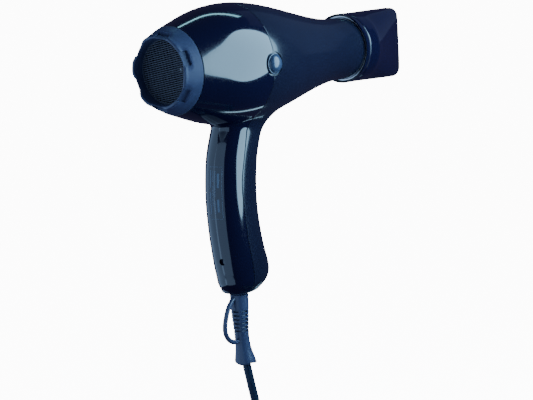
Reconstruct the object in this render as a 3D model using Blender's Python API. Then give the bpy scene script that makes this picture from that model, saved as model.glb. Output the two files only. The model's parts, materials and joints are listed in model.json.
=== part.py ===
"""A travel hair dryer with its concentrator nozzle and mains lead, one object per sub-part.

World frame, metres: +X along the barrel towards the outlet, +Z up, the XZ plane is the plane
of symmetry. The origin is the middle of the handle, where the hand holds it. Shapes are laid
out in barrel axes, in millimetres: x runs forward from the seam of the intake cap, and y and z
are measured from the barrel's centre line. at() turns a barrel point into a world point.
"""
import math

import bmesh
import bpy
import numpy as np
from mathutils import Matrix, Vector

MM = 0.001
GAP = 0.3                        # clearance that touching pieces keep
GRIP = (52.5, 0.0, -100.0)       # middle of the handle, the world origin

# Shell: barrel radius along x, and the handle's centre and half depth along z
WALL = 2.5
BARREL = ((0, 30.0), (14, 34.57), (30, 39.27), (45, 41.7), (60, 42.28), (80, 40.3), (105, 35.18),
          (130, 29.26), (150, 25.15), (165, 23.29), (184, 23.2), (196, 23.2))
HANDLE_CENTRE = ((-162.4, 54.0), (-159.6, 56.1), (-155.6, 57.9), (-151.5, 59.1), (-146, 59.0),
                 (-134, 56.4), (-120, 53.8), (-107, 52.3), (-92, 51.8), (-77, 52.9), (-65, 54.8),
                 (-53, 58.6), (-40, 63.4))
HANDLE_DEPTH = ((-162.4, 7.0), (-161.6, 11.0), (-159.6, 14.8), (-155.6, 18.4), (-151.5, 20.6),
                (-146, 21.8), (-134, 21.2), (-120, 20.4), (-107, 19.9), (-92, 19.7), (-77, 19.7),
                (-65, 19.9), (-53, 20.0), (-40, 19.5))
HANDLE_WIDTH = ((-162.4, 7.0), (-161.6, 9.4), (-159.6, 11.8), (-155.6, 14.2), (-151.5, 15.2),
                (-146, 15.5), (-120, 15.5), (-92, 15.5), (-65, 15.5), (-40, 15.5))
HANDLE_PARTING = ((-162.4, 54.0), (-155, 54.6), (-140, 53.4), (-125, 50.6), (-107, 48.4),
                  (-90, 47.3), (-81, 47.6), (-68, 50.2), (-45.1, 55.7), (-40, 56.8))
HANDLE_SQUARENESS = 2.2          # exponent of the handle's superellipse
HANDLE_TOP_Z = -25.0             # the handle's form ends here, inside the barrel
SEAM_X = 57.5                    # the shell's parting plane on the barrel
BARREL_END_X = 196.0
FILLET_REAR, FILLET_FRONT = 5.0, 13.0

# Intake
CAP_LENGTH = 12.6
CAP_LOBES = 6
CAP_TWIST = math.radians(-22.0)   # how far the cap is turned from the upright position
MESH_X = -4.9
MESH_RADIUS = 22.5

# Air path
DUCT_RADIUS = 28.5
FAN_RADIUS = 25.5
MOTOR_RADIUS = 13.0
SHIELD_RADIUS = 19.9

# Concentrator nozzle
COLLAR_X = 182.6
COLLAR_RADIUS = 26.1
NOZZLE_END_X = 249.7
SLOT_HALF_HEIGHT = 24.3
SLOT_HALF_WIDTH = 5.9

# Switches on the finger side of the handle
BEZEL_X = (67.9, 71.0)
BEZEL_Z = (-113.0, -69.0)
BEZEL_HALF_WIDTH = 5.4
ROCKER_Z = {"speed_rocker": -78.0, "heat_rocker": -94.0}
ROCKER_PIVOT_X = 66.1
BUTTON_Z = -106.5

# Lead
SCREW = (-2.5, -137.0)           # y and z of the handle screw
SCREW_FACE_X = 35.7              # the handle's rear surface at the screw
CORD_RADIUS = 3.1
FLOOR_Z = -286.0
COIL_CENTRE = (112.0, -50.0)
COIL_MEAN_RADIUS = 37.5
COIL_HALF_WIDTH = 9.2
COIL_HEIGHT = 12.5
TIE_THICKNESS = 1.6
PLUG_CENTRE = (66.0, -110.8)

FINISHES = {
    "gloss_navy": ((0.006, 0.008, 0.022), 0.08, 0.0),
    "gloss_slate": ((0.010, 0.014, 0.030), 0.12, 0.0),
    "satin_blue_grey": ((0.055, 0.085, 0.140), 0.38, 0.0),
    "black_plastic": ((0.010, 0.010, 0.012), 0.45, 0.0),
    "white_plastic": ((0.75, 0.74, 0.70), 0.45, 0.0),
    "mica": ((0.55, 0.46, 0.33), 0.55, 0.0),
    "steel": ((0.60, 0.60, 0.62), 0.30, 1.0),
    "cord_rubber": ((0.030, 0.045, 0.080), 0.42, 0.0),
    "wire_brown": ((0.12, 0.05, 0.02), 0.45, 0.0),
    "wire_blue": ((0.02, 0.08, 0.35), 0.45, 0.0),
}

UPRIGHT = Matrix.Identity(3)
ALONG_X = Matrix.Rotation(math.pi / 2, 3, "Y")
ALONG_Y = Matrix.Rotation(-math.pi / 2, 3, "X")


def at(x, y, z):
    """World point in metres of a point in barrel axes, in millimetres."""
    return Vector((x - GRIP[0], y - GRIP[1], z - GRIP[2])) * MM


def clear_scene():
    for item in list(bpy.data.objects):
        bpy.data.objects.remove(item, do_unlink=True)


def finish(name):
    """Principled material of the given finish, made once and shared."""
    material = bpy.data.materials.get(name)
    if material is None:
        colour, roughness, metallic = FINISHES[name]
        material = bpy.data.materials.new(name)
        material.use_nodes = True
        shader = material.node_tree.nodes["Principled BSDF"]
        shader.inputs["Base Color"].default_value = (*colour, 1.0)
        shader.inputs["Roughness"].default_value = roughness
        shader.inputs["Metallic"].default_value = metallic
    return material


def curve_through(knots):
    """Natural cubic spline through (position, value) knots, as a function of position."""
    xs, ys = np.array(sorted(knots), dtype=float).T
    steps = np.diff(xs)
    count = len(xs)
    system = np.eye(count)
    right = np.zeros(count)
    for i in range(1, count - 1):
        system[i, i - 1:i + 2] = steps[i - 1], 2 * (steps[i - 1] + steps[i]), steps[i]
        right[i] = 6 * ((ys[i + 1] - ys[i]) / steps[i] - (ys[i] - ys[i - 1]) / steps[i - 1])
    bend = np.linalg.solve(system, right)

    def value(x):
        x = np.clip(x, xs[0], xs[-1])
        i = np.clip(np.searchsorted(xs, x) - 1, 0, count - 2)
        a, b = (xs[i + 1] - x) / steps[i], (x - xs[i]) / steps[i]
        curve = ((a ** 3 - a) * bend[i] + (b ** 3 - b) * bend[i + 1]) * steps[i] ** 2 / 6
        return a * ys[i] + b * ys[i + 1] + curve

    return value


barrel_radius = curve_through(BARREL)
handle_centre = curve_through(HANDLE_CENTRE)
handle_depth = curve_through(HANDLE_DEPTH)
handle_width = curve_through(HANDLE_WIDTH)
handle_parting = curve_through(HANDLE_PARTING)


# ---------------------------------------------------------------- modelling helpers

def add_object(name, bm, finish_name, origin=GRIP, turn=UPRIGHT, smooth=True):
    """Object from a bmesh in metres about its own origin, faces turned outwards."""
    bmesh.ops.recalc_face_normals(bm, faces=bm.faces)
    mesh = bpy.data.meshes.new(name)
    bm.to_mesh(mesh)
    bm.free()
    if smooth:
        mesh.shade_smooth()
        mesh.set_sharp_from_angle(angle=math.radians(32))
    item = bpy.data.objects.new(name, mesh)
    item.data.materials.append(finish(finish_name))
    item.location = at(*origin)
    item.rotation_euler = turn.to_euler()
    bpy.context.scene.collection.objects.link(item)
    return item


def turned(profile, segments, closed=True):
    """Turn (along, radius) points, in millimetres, a full circle about the local Z axis."""
    bm = bmesh.new()
    points = [bm.verts.new((r * MM, 0, a * MM)) for a, r in profile]
    pairs = list(zip(points, points[1:]))
    if closed:
        pairs.append((points[-1], points[0]))
    edges = [bm.edges.new(pair) for pair in pairs]
    bmesh.ops.spin(bm, geom=points + edges, cent=(0, 0, 0), axis=(0, 0, 1), angle=math.tau,
                   steps=segments, use_merge=True)
    bmesh.ops.remove_doubles(bm, verts=bm.verts, dist=0.01 * MM)
    bmesh.ops.recalc_face_normals(bm, faces=bm.faces)
    return bm


def rings_bmesh(rings, looped=False):
    """Skin rings of world points: capped at both ends, or looped back to the first ring."""
    bm = bmesh.new()
    loops = [[bm.verts.new(p) for p in ring] for ring in rings]
    pairs = list(zip(loops, loops[1:]))
    if looped:
        pairs.append((loops[-1], loops[0]))
    else:
        bm.faces.new(loops[0])
        bm.faces.new(loops[-1])
    for lower, upper in pairs:
        for k in range(len(lower)):
            n = (k + 1) % len(lower)
            bm.faces.new((lower[k], lower[n], upper[n], upper[k]))
    return bm


def box_bmesh(size, bevel=0.0, segments=2):
    """Box of the given size in millimetres, centred on the origin, with rounded edges."""
    bm = bmesh.new()
    bmesh.ops.create_cube(bm, size=1.0, matrix=Matrix.Diagonal((*[s * MM for s in size], 1.0)))
    if bevel:
        bmesh.ops.bevel(bm, geom=bm.edges[:], offset=bevel * MM, segments=segments, profile=0.5,
                        affect="EDGES", material=-1)
    return bm


def box(name, centre, size, finish_name, bevel=0.0):
    return add_object(name, box_bmesh(size, bevel), finish_name, origin=centre)


def rod_bmesh(length, radius, segments=16):
    """Cylinder from z = 0 to z = length, in millimetres."""
    return turned(((0, 0), (0, radius), (length, radius), (length, 0)), segments, closed=False)


def superellipse(centre, half_x, half_y, power, angles):
    """Points round a section in the plane of x and y, angle 0 at +x."""
    cos, sin = np.cos(angles), np.sin(angles)
    x = centre + half_x * np.sign(cos) * np.abs(cos) ** (2 / power)
    y = half_y * np.sign(sin) * np.abs(sin) ** (2 / power)
    return x, y


def combine(target, tool, operation):
    """Boolean modifier with a helper object, which is hidden from the finished part."""
    tool.hide_render = True
    tool.display_type = "WIRE"
    modifier = target.modifiers.new(f"{operation.lower()} {tool.name}", "BOOLEAN")
    modifier.object = tool
    modifier.operation = operation
    modifier.solver = "EXACT"


def tube(name, points, radius, finish_name, resolution=2):
    """Curve object with a round bevel and filled caps through barrel points."""
    curve = bpy.data.curves.new(name, "CURVE")
    curve.dimensions = "3D"
    curve.bevel_depth = radius * MM
    curve.bevel_resolution = resolution
    curve.use_fill_caps = True
    spline = curve.splines.new("POLY")
    spline.points.add(len(points) - 1)
    for slot, point in zip(spline.points, points):
        slot.co = (*at(*point), 1.0)
    item = bpy.data.objects.new(name, curve)
    curve.materials.append(finish(finish_name))
    bpy.context.scene.collection.objects.link(item)
    return item


def smooth_route(points, step):
    """Evenly spaced points, about step apart, on a smooth curve through the given points."""
    points = np.array(points, dtype=float)
    chord = np.concatenate(([0.0], np.cumsum(np.linalg.norm(np.diff(points, axis=0), axis=1))))
    axes = [curve_through(list(zip(chord, points[:, axis]))) for axis in range(3)]
    fine = np.linspace(0.0, chord[-1], 400)
    path = np.stack([axis(fine) for axis in axes], axis=1)
    run = np.concatenate(([0.0], np.cumsum(np.linalg.norm(np.diff(path, axis=0), axis=1))))
    wanted = np.linspace(0.0, run[-1], max(3, round(run[-1] / step) + 1))
    return [tuple(np.interp(s, run, path[:, axis]) for axis in range(3)) for s in wanted]


# ---------------------------------------------------------------- shell

def shell_distance(points):
    """Signed distance-like field of barrel and handle joined by a fillet, millimetres."""
    x, y, z = points.T
    barrel = np.hypot(y, z) - barrel_radius(x)
    depth, width = handle_depth(z), handle_width(z)
    across = (np.abs((x - handle_centre(z)) / depth) ** HANDLE_SQUARENESS
              + np.abs(y / width) ** HANDLE_SQUARENESS) ** (1 / HANDLE_SQUARENESS)
    handle = (across - 1.0) * width + np.maximum(z - HANDLE_TOP_Z, 0.0)
    mix = np.clip((x - 45.0) / 30.0, 0.0, 1.0)
    fillet = FILLET_REAR + (FILLET_FRONT - FILLET_REAR) * mix * mix * (3 - 2 * mix)
    overlap = np.maximum(fillet - np.abs(barrel - handle), 0.0) / fillet
    return np.minimum(barrel, handle) - overlap * overlap * fillet / 4


def project_to_shell(points, rounds=6):
    """Newton steps that bring points onto the zero level of shell_distance."""
    nudge = 0.05
    for _ in range(rounds):
        value = shell_distance(points)
        slope = np.stack([(shell_distance(points + step) - shell_distance(points - step)) / (2 * nudge)
                          for step in np.eye(3) * nudge], axis=1)
        points = points - slope * (value / np.sum(slope * slope, axis=1))[:, None]
    return points


def split_steps(stops, parts):
    """The stops with each interval divided into equal parts."""
    fine = [np.linspace(a, b, parts, endpoint=False) for a, b in zip(stops, stops[1:])]
    return np.concatenate(fine + [[stops[-1]]])


def shell_grid(parts=1):
    """Outer skin of the whole shell: points and quads, each quad marked rear or front."""
    rear_x = split_steps((0.15, 5, 14, 24, 33, 42, 47.2, 52.4, SEAM_X), parts)
    front_x = split_steps((SEAM_X, 63.7, 70, 76.3, 82.5, 91, 104, 118, 133, 150, 167, 184, BARREL_END_X), parts)
    stations = np.concatenate((rear_x, front_x[1:]))
    side = np.radians(split_steps((0, 10.5, 21.5, *(21.5 + 15.85 * k for k in range(1, 11))), parts))
    around = np.concatenate((side, -side[-2:0:-1]))
    columns, patch_half = len(around), 2 * parts
    patch_rear = 5 * parts
    patch_front = len(rear_x) - 1 + 4 * parts
    seam = len(rear_x) - 1

    radius = barrel_radius(stations)
    points = [(x, -r * math.sin(a), -r * math.cos(a)) for x, r in zip(stations, radius) for a in around]
    quads, front = [], []
    for i in range(len(stations) - 1):
        for k in range(columns):
            inside_patch = k < patch_half or k >= columns - patch_half
            if patch_rear <= i < patch_front and inside_patch:
                continue
            n = (k + 1) % columns
            quads.append((i * columns + k, i * columns + n, (i + 1) * columns + n, (i + 1) * columns + k))
            front.append(i >= seam)

    def column(offset):
        return offset % columns

    loop = [(patch_front, column(k)) for k in range(0, patch_half + 1)]
    loop += [(i, patch_half) for i in range(patch_front - 1, patch_rear - 1, -1)]
    loop += [(patch_rear, column(k)) for k in range(patch_half - 1, -patch_half - 1, -1)]
    loop += [(i, column(-patch_half)) for i in range(patch_rear + 1, patch_front + 1)]
    loop += [(patch_front, column(k)) for k in range(-patch_half + 1, 0)]
    previous = [i * columns + k for i, k in loop]
    start = np.array([points[i] for i in previous])

    front_turn = split_steps((0, 14, 30, 47, 64, 81), parts)
    rear_turn = split_steps((98, 115, 132, 150, 166, 180), parts)
    joint_turn = split_steps((81, 98), parts)[:-1]
    half = np.radians(np.concatenate((front_turn[:-1], joint_turn, rear_turn)))
    turn = np.concatenate((half, -half[-2:0:-1]))
    seam_index = 6 * parts
    heights = split_steps((-47.5, -51.5, -57, -65, -78, -92, -107, -121, -134, -144, -151.5, -155.6,
                           -159.6, -161.6, -162.4), parts)
    settle = split_steps((0.0, 0.45, 1.0), parts)[1:]
    rings = []
    first = handle_ring(heights[0], turn, half, seam_index)
    for share in settle[:-1]:
        rings.append(start * (1 - share) + first * share)
    rings += [handle_ring(z, turn, half, seam_index) for z in heights]
    for ring in rings:
        base = len(points)
        points.extend(map(tuple, ring))
        current = list(range(base, base + len(ring)))
        for k in range(len(ring)):
            n = (k + 1) % len(ring)
            quads.append((previous[n], previous[k], current[k], current[n]))
            front.append(k < seam_index or k >= len(ring) - seam_index)
        previous = current
    points = np.array(points, dtype=float)
    blended = points[:, 2] > -80.0
    points[blended] = project_to_shell(points[blended])
    return points, quads, np.array(front)


def handle_ring(z, turn, half, seam_index):
    """Section of the handle at height z, its side points drawn to the parting line."""
    centre, depth, width = handle_centre(z), handle_depth(z), handle_width(z)
    offset = np.clip((handle_parting(z) - centre) / depth, -0.9, 0.9)
    parting = math.acos(math.copysign(abs(offset) ** (HANDLE_SQUARENESS / 2), offset))
    magnitude = np.abs(turn)
    seam_turn = half[seam_index]
    eased = np.where(magnitude <= seam_turn, magnitude * parting / seam_turn,
                     math.pi - (math.pi - magnitude) * (math.pi - parting) / (math.pi - seam_turn))
    x, y = superellipse(centre, depth, width, HANDLE_SQUARENESS, np.sign(turn) * eased)
    return np.stack((x, -y, np.full_like(x, z)), axis=1)


def shell_normals(points, quads):
    """Outward unit normals at the points of the skin."""
    corners = points[np.array(quads)]
    face = np.cross(corners[:, 2] - corners[:, 0], corners[:, 3] - corners[:, 1])
    normals = np.zeros_like(points)
    for k in range(4):
        np.add.at(normals, np.array(quads)[:, k], face)
    normals /= np.maximum(np.linalg.norm(normals, axis=1), 1e-9)[:, None]
    outward = normals[len(points) // 8] @ (points[len(points) // 8] * (0, 1, 1))
    return normals * np.sign(outward)


def half_shell(name, want_front, finish_name):
    """One moulded half: outer skin, inner skin a wall away, and the rims between them."""
    points, quads, front = shell_grid()
    normals = shell_normals(points, quads)
    mine = [quad for quad, is_front in zip(quads, front) if is_front == want_front]
    other = {i for quad, is_front in zip(quads, front) if is_front != want_front for i in quad}
    shift = GAP / 2 if want_front else -GAP / 2
    bm = bmesh.new()
    outer, inner = {}, {}
    for i in sorted({i for quad in mine for i in quad}):
        point = points[i] + ((shift, 0, 0) if i in other else (0, 0, 0))
        outer[i] = bm.verts.new(at(*point))
        inner[i] = bm.verts.new(at(*(point - normals[i] * WALL)))
    used = {}
    for quad in mine:
        bm.faces.new([outer[i] for i in quad])
        bm.faces.new([inner[i] for i in reversed(quad)])
        for a, b in zip(quad, quad[1:] + quad[:1]):
            used[(a, b)] = True
    for a, b in used:
        if (b, a) not in used:
            bm.faces.new((outer[b], outer[a], inner[a], inner[b]))
    return add_object(name, bm, finish_name)


def build_shell():
    rear = half_shell("rear_shell", False, "gloss_navy")
    front = half_shell("front_shell", True, "gloss_slate")

    badge_recess = bmesh.new()
    for side in (-1, 1):
        matrix = Matrix.Translation(Vector((0, side * (40.9 + 5.0) * MM, 0))) @ ALONG_Y.to_4x4()
        bmesh.ops.create_cone(badge_recess, cap_ends=True, segments=24, radius1=8.5 * MM,
                              radius2=8.5 * MM, depth=10.0 * MM, matrix=matrix)
    recess = add_object("badge_recess_cutter", badge_recess, "black_plastic", origin=(SEAM_X, 0, 0))
    combine(rear, recess, "DIFFERENCE")
    combine(front, recess, "DIFFERENCE")

    window = box("switch_window_cutter", (69.5, 0, sum(BEZEL_Z) / 2),
                 (16.0, 2 * (BEZEL_HALF_WIDTH + GAP), BEZEL_Z[1] - BEZEL_Z[0] + 2 * GAP),
                 "black_plastic")
    combine(front, window, "DIFFERENCE")

    y, z = SCREW
    post = add_object("screw_post_form", rod_bmesh(20.3, 3.6, 14), "gloss_slate",
                      origin=(55.5, y, z), turn=ALONG_X)
    pilot = add_object("screw_pilot_cutter", rod_bmesh(14.0, 1.5, 12), "gloss_slate",
                       origin=(54.5, y, z), turn=ALONG_X)
    combine(front, post, "UNION")
    combine(front, pilot, "DIFFERENCE")
    collar = add_object("screw_collar_form", rod_bmesh(16.8, 3.8, 14), "gloss_navy",
                        origin=(38.4, y, z), turn=ALONG_X)
    bore_profile = ((-4, 0), (-4, 2.4), (10.0, 2.4), (10.0, 1.5), (23.0, 1.5), (23.0, 0))
    bore = add_object("screw_bore_cutter", turned(bore_profile, 14, closed=False), "gloss_navy",
                      origin=(SCREW_FACE_X, y, z), turn=ALONG_X)
    combine(rear, collar, "UNION")
    combine(rear, bore, "DIFFERENCE")

    screw_profile = ((0.3, 0), (0.3, 1.9), (1.6, 1.9), (1.6, 1.2), (22.5, 1.2), (23.4, 0))
    screw = turned([(9.7 - 1.6 + a, r) for a, r in screw_profile], 12, closed=False)
    add_object("handle_screw", screw, "steel", origin=(SCREW_FACE_X, y, z), turn=ALONG_X)

    dome = [(0, 0), (0, 7.25), (1.2, 7.25)]
    dome += [(1.2 + 1.0 * math.sin(t), 7.25 * math.cos(t)) for t in np.linspace(0.25, math.pi / 2, 5)]
    dome[-1] = (2.2, 0)
    for name, side in (("badge_left", 1), ("badge_right", -1)):
        turn = ALONG_Y if side > 0 else Matrix.Rotation(math.pi / 2, 3, "X")
        add_object(name, turned(dome, 24, closed=False), "satin_blue_grey",
                   origin=(SEAM_X, side * 41.2, 0), turn=turn)


# ---------------------------------------------------------------- intake and air path

def build_intake():
    profile = [(-0.15, 29.8), (-6.5, 27.4), (-11.0, 25.4)]
    profile += [(-CAP_LENGTH + 0.9 - 0.9 * math.sin(t), 23.5 + 1.3 * math.cos(t))
                for t in np.radians((40, 90, 150))]
    profile += [(-5.3, 21.4), (-5.3, 22.9), (-3.0, 22.9), (-3.0, 24.6), (5.5, 24.6), (5.5, 26.7),
                (-0.15, 26.7)]
    bm = turned(profile, 36)
    for vert in bm.verts:
        height = -vert.co.z / MM
        if height > 6.0:
            angle = math.atan2(vert.co.y, vert.co.x) - CAP_TWIST
            hollow = 0.5 - 0.5 * math.cos(CAP_LOBES * angle)
            reach = min(1.0, (height - 6.0) / 5.0)
            vert.co.z += 1.4 * MM * hollow * reach
            vert.co.xy *= 1.0 - 0.035 * hollow * reach
    add_object("intake_cap", bm, "satin_blue_grey", origin=(0, 0, 0), turn=ALONG_X)

    disc = add_object("intake_mesh", rod_bmesh(1.2, MESH_RADIUS, 32), "black_plastic",
                      origin=(MESH_X, 0, 0), turn=ALONG_X)
    holes = bmesh.new()
    pitch, hole = 6.0, 4.6
    for row in range(-3, 4):
        for column in range(-3, 4):
            if math.hypot(row, column) * pitch + hole * 0.72 < 20.6:
                centre = Matrix.Translation(Vector((0, column * pitch, row * pitch)) * MM)
                size = Matrix.Diagonal((6.0 * MM, hole * MM, hole * MM, 1.0))
                bmesh.ops.create_cube(holes, size=1.0, matrix=centre @ size)
    cutter = add_object("mesh_hole_cutter", holes, "black_plastic", origin=(MESH_X, 0, 0))
    combine(disc, cutter, "DIFFERENCE")


def bridge_faces(bm, first, second):
    """Replace two facing quads by the four walls of a vane between them."""
    edges = list(first.edges) + list(second.edges)
    bmesh.ops.delete(bm, geom=[first, second], context="FACES_ONLY")
    bmesh.ops.bridge_loops(bm, edges=edges)


def faces_between(bm, along, radius, segments):
    """Quads of a turned skin, sorted by angle, whose centre is at (along, radius)."""
    half_angle = math.cos(math.pi / segments)
    found = []
    for face in bm.faces:
        centre = face.calc_center_median() / MM
        flat = math.hypot(centre.x, centre.y)
        if abs(centre.z - along) < 0.2 and abs(flat - radius * half_angle) < 0.2:
            found.append((math.atan2(centre.y, centre.x), face))
    return [face for _, face in sorted(found, key=lambda pair: pair[0])]


def build_air_path():
    segments = 24
    duct = ((9, 27.0), (9, DUCT_RADIUS), (12.5, DUCT_RADIUS), (12.5, 30.8), (14.5, 30.8),
            (14.5, DUCT_RADIUS), (56, DUCT_RADIUS), (72, 20.6), (72, 19.0), (56, 27.0), (46, 27.0),
            (30, 27.0))
    cup = ((24, 3.5), (24, 14.8), (30, 14.8), (46, 14.8), (50, 14.8), (50, 13.4), (25.4, 13.4),
           (25.4, 3.5))
    bm = turned(duct, segments)
    inner = turned(cup, segments)
    holder = bpy.data.meshes.new("motor_cup")
    inner.to_mesh(holder)
    inner.free()
    bm.from_mesh(holder)
    bpy.data.meshes.remove(holder)
    walls = faces_between(bm, 38.0, 27.0, segments)
    posts = faces_between(bm, 38.0, 14.8, segments)
    for k in range(0, segments, 4):
        bridge_faces(bm, walls[k], posts[k])
    add_object("fan_duct", bm, "black_plastic", origin=(0, 0, 0), turn=ALONG_X)

    can = ((25.8, 1.6), (25.8, 12.2), (26.6, MOTOR_RADIUS), (53.2, MOTOR_RADIUS), (54, 12.2), (54, 1.6))
    add_object("motor_can", turned(can, 24), "steel", origin=(0, 0, 0), turn=ALONG_X)
    end = ((54.3, 1.6), (54.3, 12.0), (56.5, 12.0), (59, 8.5), (59, 1.6))
    add_object("motor_end_cap", turned(end, 20), "white_plastic", origin=(0, 0, 0), turn=ALONG_X)
    add_object("motor_shaft", rod_bmesh(51.0, 1.2, 12), "steel", origin=(9.5, 0, 0), turn=ALONG_X)

    hub = ((10.5, 1.5), (10.5, 3.5), (11.5, 6.5), (13, 8), (21.5, 8), (21.5, 1.5))
    fan = turned([(a - 16.0, r) for a, r in hub], 21)
    roots = faces_between(fan, 17.25 - 16.0, 8.0, 21)[::3]
    for root in roots:
        tip = root
        for reach, twist in ((8.0, 0.35), (FAN_RADIUS - 17.0, 0.30)):
            made = bmesh.ops.extrude_discrete_faces(fan, faces=[tip])["faces"]
            tip = made[0]
            outward = tip.normal.normalized()
            centre = tip.calc_center_median()
            bmesh.ops.translate(fan, verts=tip.verts, vec=outward * reach * MM)
            bmesh.ops.rotate(fan, verts=tip.verts, cent=centre,
                             matrix=Matrix.Rotation(twist, 3, outward))
    add_object("fan", fan, "black_plastic", origin=(16, 0, 0), turn=ALONG_X)


def build_heater():
    shield = ((72.3, SHIELD_RADIUS - 0.7), (72.3, SHIELD_RADIUS), (180, SHIELD_RADIUS),
              (180, SHIELD_RADIUS - 0.7))
    add_object("heat_shield", turned(shield, 28), "mica", origin=(0, 0, 0), turn=ALONG_X)
    length, half = 96.0, 16.6
    centre_x = 78.0 + length / 2
    box("mica_board_upright", (centre_x, 0, 0), (length, 0.6, 2 * half), "mica")
    for name, side in (("mica_board_left", 1), ("mica_board_right", -1)):
        box(name, (centre_x, side * (0.6 + half) / 2, 0), (length, half - 0.6, 0.6), "mica")
    for name, start, turns in (("heater_coil_rear", 84.0, 3), ("heater_coil_front", 128.0, 3)):
        points = []
        for k in range(12 * turns + 1):
            angle = math.tau * k / 12
            points.append((start + 34.0 * k / (12 * turns), 18.1 * math.cos(angle), 18.1 * math.sin(angle)))
        tube(name, points, 0.45, "steel", resolution=1)
    box("thermostat", (100, 3.4, 8.0), (9, 5, 5), "steel", bevel=0.6)
    add_object("thermal_fuse", rod_bmesh(11, 1.8, 12), "white_plastic", origin=(118, -2.7, -7.0),
               turn=ALONG_X)

    segments = 24
    rings = bmesh.new()
    for inner, outer in ((18.4, SHIELD_RADIUS), (11.6, 13.0), (4.6, 6.0)):
        ring = turned(((187, inner), (187, outer), (189.5, outer), (189.5, inner)), segments)
        holder = bpy.data.meshes.new("grille_ring")
        ring.to_mesh(holder)
        ring.free()
        rings.from_mesh(holder)
        bpy.data.meshes.remove(holder)
    for outside, inside in ((18.4, 13.0), (11.6, 6.0)):
        walls = faces_between(rings, 188.25, outside, segments)
        posts = faces_between(rings, 188.25, inside, segments)
        for k in range(0, segments, 4):
            bridge_faces(rings, walls[k], posts[k])
    add_object("outlet_grille", rings, "black_plastic", origin=(0, 0, 0), turn=ALONG_X)


# ---------------------------------------------------------------- nozzle

def nozzle_ring(x, inset, count=28):
    """Section of the nozzle at x, drawn in by inset: round at the collar, a slot at the end."""
    share = min(1.0, max(0.0, (x - 196.0) / (NOZZLE_END_X - 196.0)))
    half_z = COLLAR_RADIUS + (SLOT_HALF_HEIGHT - COLLAR_RADIUS) * share - inset
    half_y = COLLAR_RADIUS + (SLOT_HALF_WIDTH - COLLAR_RADIUS) * share ** 0.92 - inset
    power = 2.0 + 4.0 * share ** 1.5
    angles = np.linspace(0, math.tau, count, endpoint=False)
    z, y = superellipse(0.0, half_z, half_y, power, angles)
    return [at(x, b, a) for a, b in zip(z, y)]


def build_nozzle():
    outer = [(COLLAR_X, 0.8), (COLLAR_X + 0.8, 0.0)]
    outer += [(x, 0.0) for x in (196, 204, 213, 222, 231, 240, NOZZLE_END_X - 0.6)]
    outer += [(NOZZLE_END_X, 0.5), (NOZZLE_END_X, 1.4)]
    inner = [(x, 1.6) for x in (240, 231, 222, 213, 204)]
    inner += [(BARREL_END_X + 0.5, 3.6), (BARREL_END_X + 0.5, 1.4), (COLLAR_X, 1.4)]
    bm = rings_bmesh([nozzle_ring(x, inset) for x, inset in outer + inner], looped=True)
    nozzle = add_object("concentrator_nozzle", bm, "gloss_navy")
    shift_origin(nozzle, (COLLAR_X, 0, 0))
    clip = ((COLLAR_X + 1.4, 23.55), (COLLAR_X + 1.4, 24.35), (COLLAR_X + 9.4, 24.35),
            (COLLAR_X + 9.4, 23.55))
    add_object("nozzle_clip_ring", turned([(a - COLLAR_X, r) for a, r in clip], 32), "steel",
               origin=(COLLAR_X, 0, 0), turn=ALONG_X)


def shift_origin(item, origin):
    """Move an unrotated object's origin to a barrel point and leave its shape in place."""
    target = at(*origin)
    item.data.transform(Matrix.Translation(item.location - target))
    item.location = target


# ---------------------------------------------------------------- switches

def build_switches():
    width = 2 * BEZEL_HALF_WIDTH
    depth = BEZEL_X[1] - BEZEL_X[0]
    middle = (sum(BEZEL_X) / 2, 0, sum(BEZEL_Z) / 2)
    bezel = box("switch_bezel", middle, (depth, width, BEZEL_Z[1] - BEZEL_Z[0]), "black_plastic", bevel=0.5)
    openings = bmesh.new()
    for z in ROCKER_Z.values():
        place = Matrix.Translation(at(middle[0], 0, z) - at(*middle))
        bmesh.ops.create_cube(openings, size=1.0,
                              matrix=place @ Matrix.Diagonal((0.010, 0.0086, 0.0142, 1.0)))
    place = Matrix.Translation(at(middle[0], 0, BUTTON_Z) - at(*middle)) @ ALONG_X.to_4x4()
    bmesh.ops.create_cone(openings, cap_ends=True, segments=20, radius1=0.0033, radius2=0.0033,
                          depth=0.010, matrix=place)
    cutter = add_object("bezel_opening_cutter", openings, "black_plastic", origin=middle)
    combine(bezel, cutter, "DIFFERENCE")

    outline = ((-1.2, -6.0), (1.8, -6.5), (6.6, -5.6), (5.6, 0.0), (6.6, 5.6), (1.8, 6.5), (-1.2, 6.0))
    for name, z in ROCKER_Z.items():
        rings = [[at(ROCKER_PIVOT_X + a, y, z + b) for a, b in outline] for y in (-3.9, 3.9)]
        rocker = add_object(name, rings_bmesh(rings), "satin_blue_grey")
        shift_origin(rocker, (ROCKER_PIVOT_X, 0, z))

    cap = ((0, 0), (0, 3.0), (6.0, 3.0), (6.5, 2.4), (6.5, 0))
    add_object("cold_shot_button", turned(cap, 20, closed=False), "satin_blue_grey",
               origin=(66.0, 0, BUTTON_Z), turn=ALONG_X)
    coil = []
    for k in range(17):
        angle = math.tau * k / 8
        coil.append((64.0 + 1.4 * k / 16, 1.9 * math.cos(angle), BUTTON_Z + 1.9 * math.sin(angle)))
    tube("button_spring", coil, 0.15, "steel", resolution=1)
    box("switch_block", (55.3, 0, -91), (16.2, 15, 46), "white_plastic", bevel=0.8)
    box("noise_capacitor", (41.8, 0, -76), (7, 11, 14), "wire_blue", bevel=0.8)
    box("rectifier", (42, 0, -98), (6, 9, 9), "black_plastic", bevel=0.5)


# ---------------------------------------------------------------- lead

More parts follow.
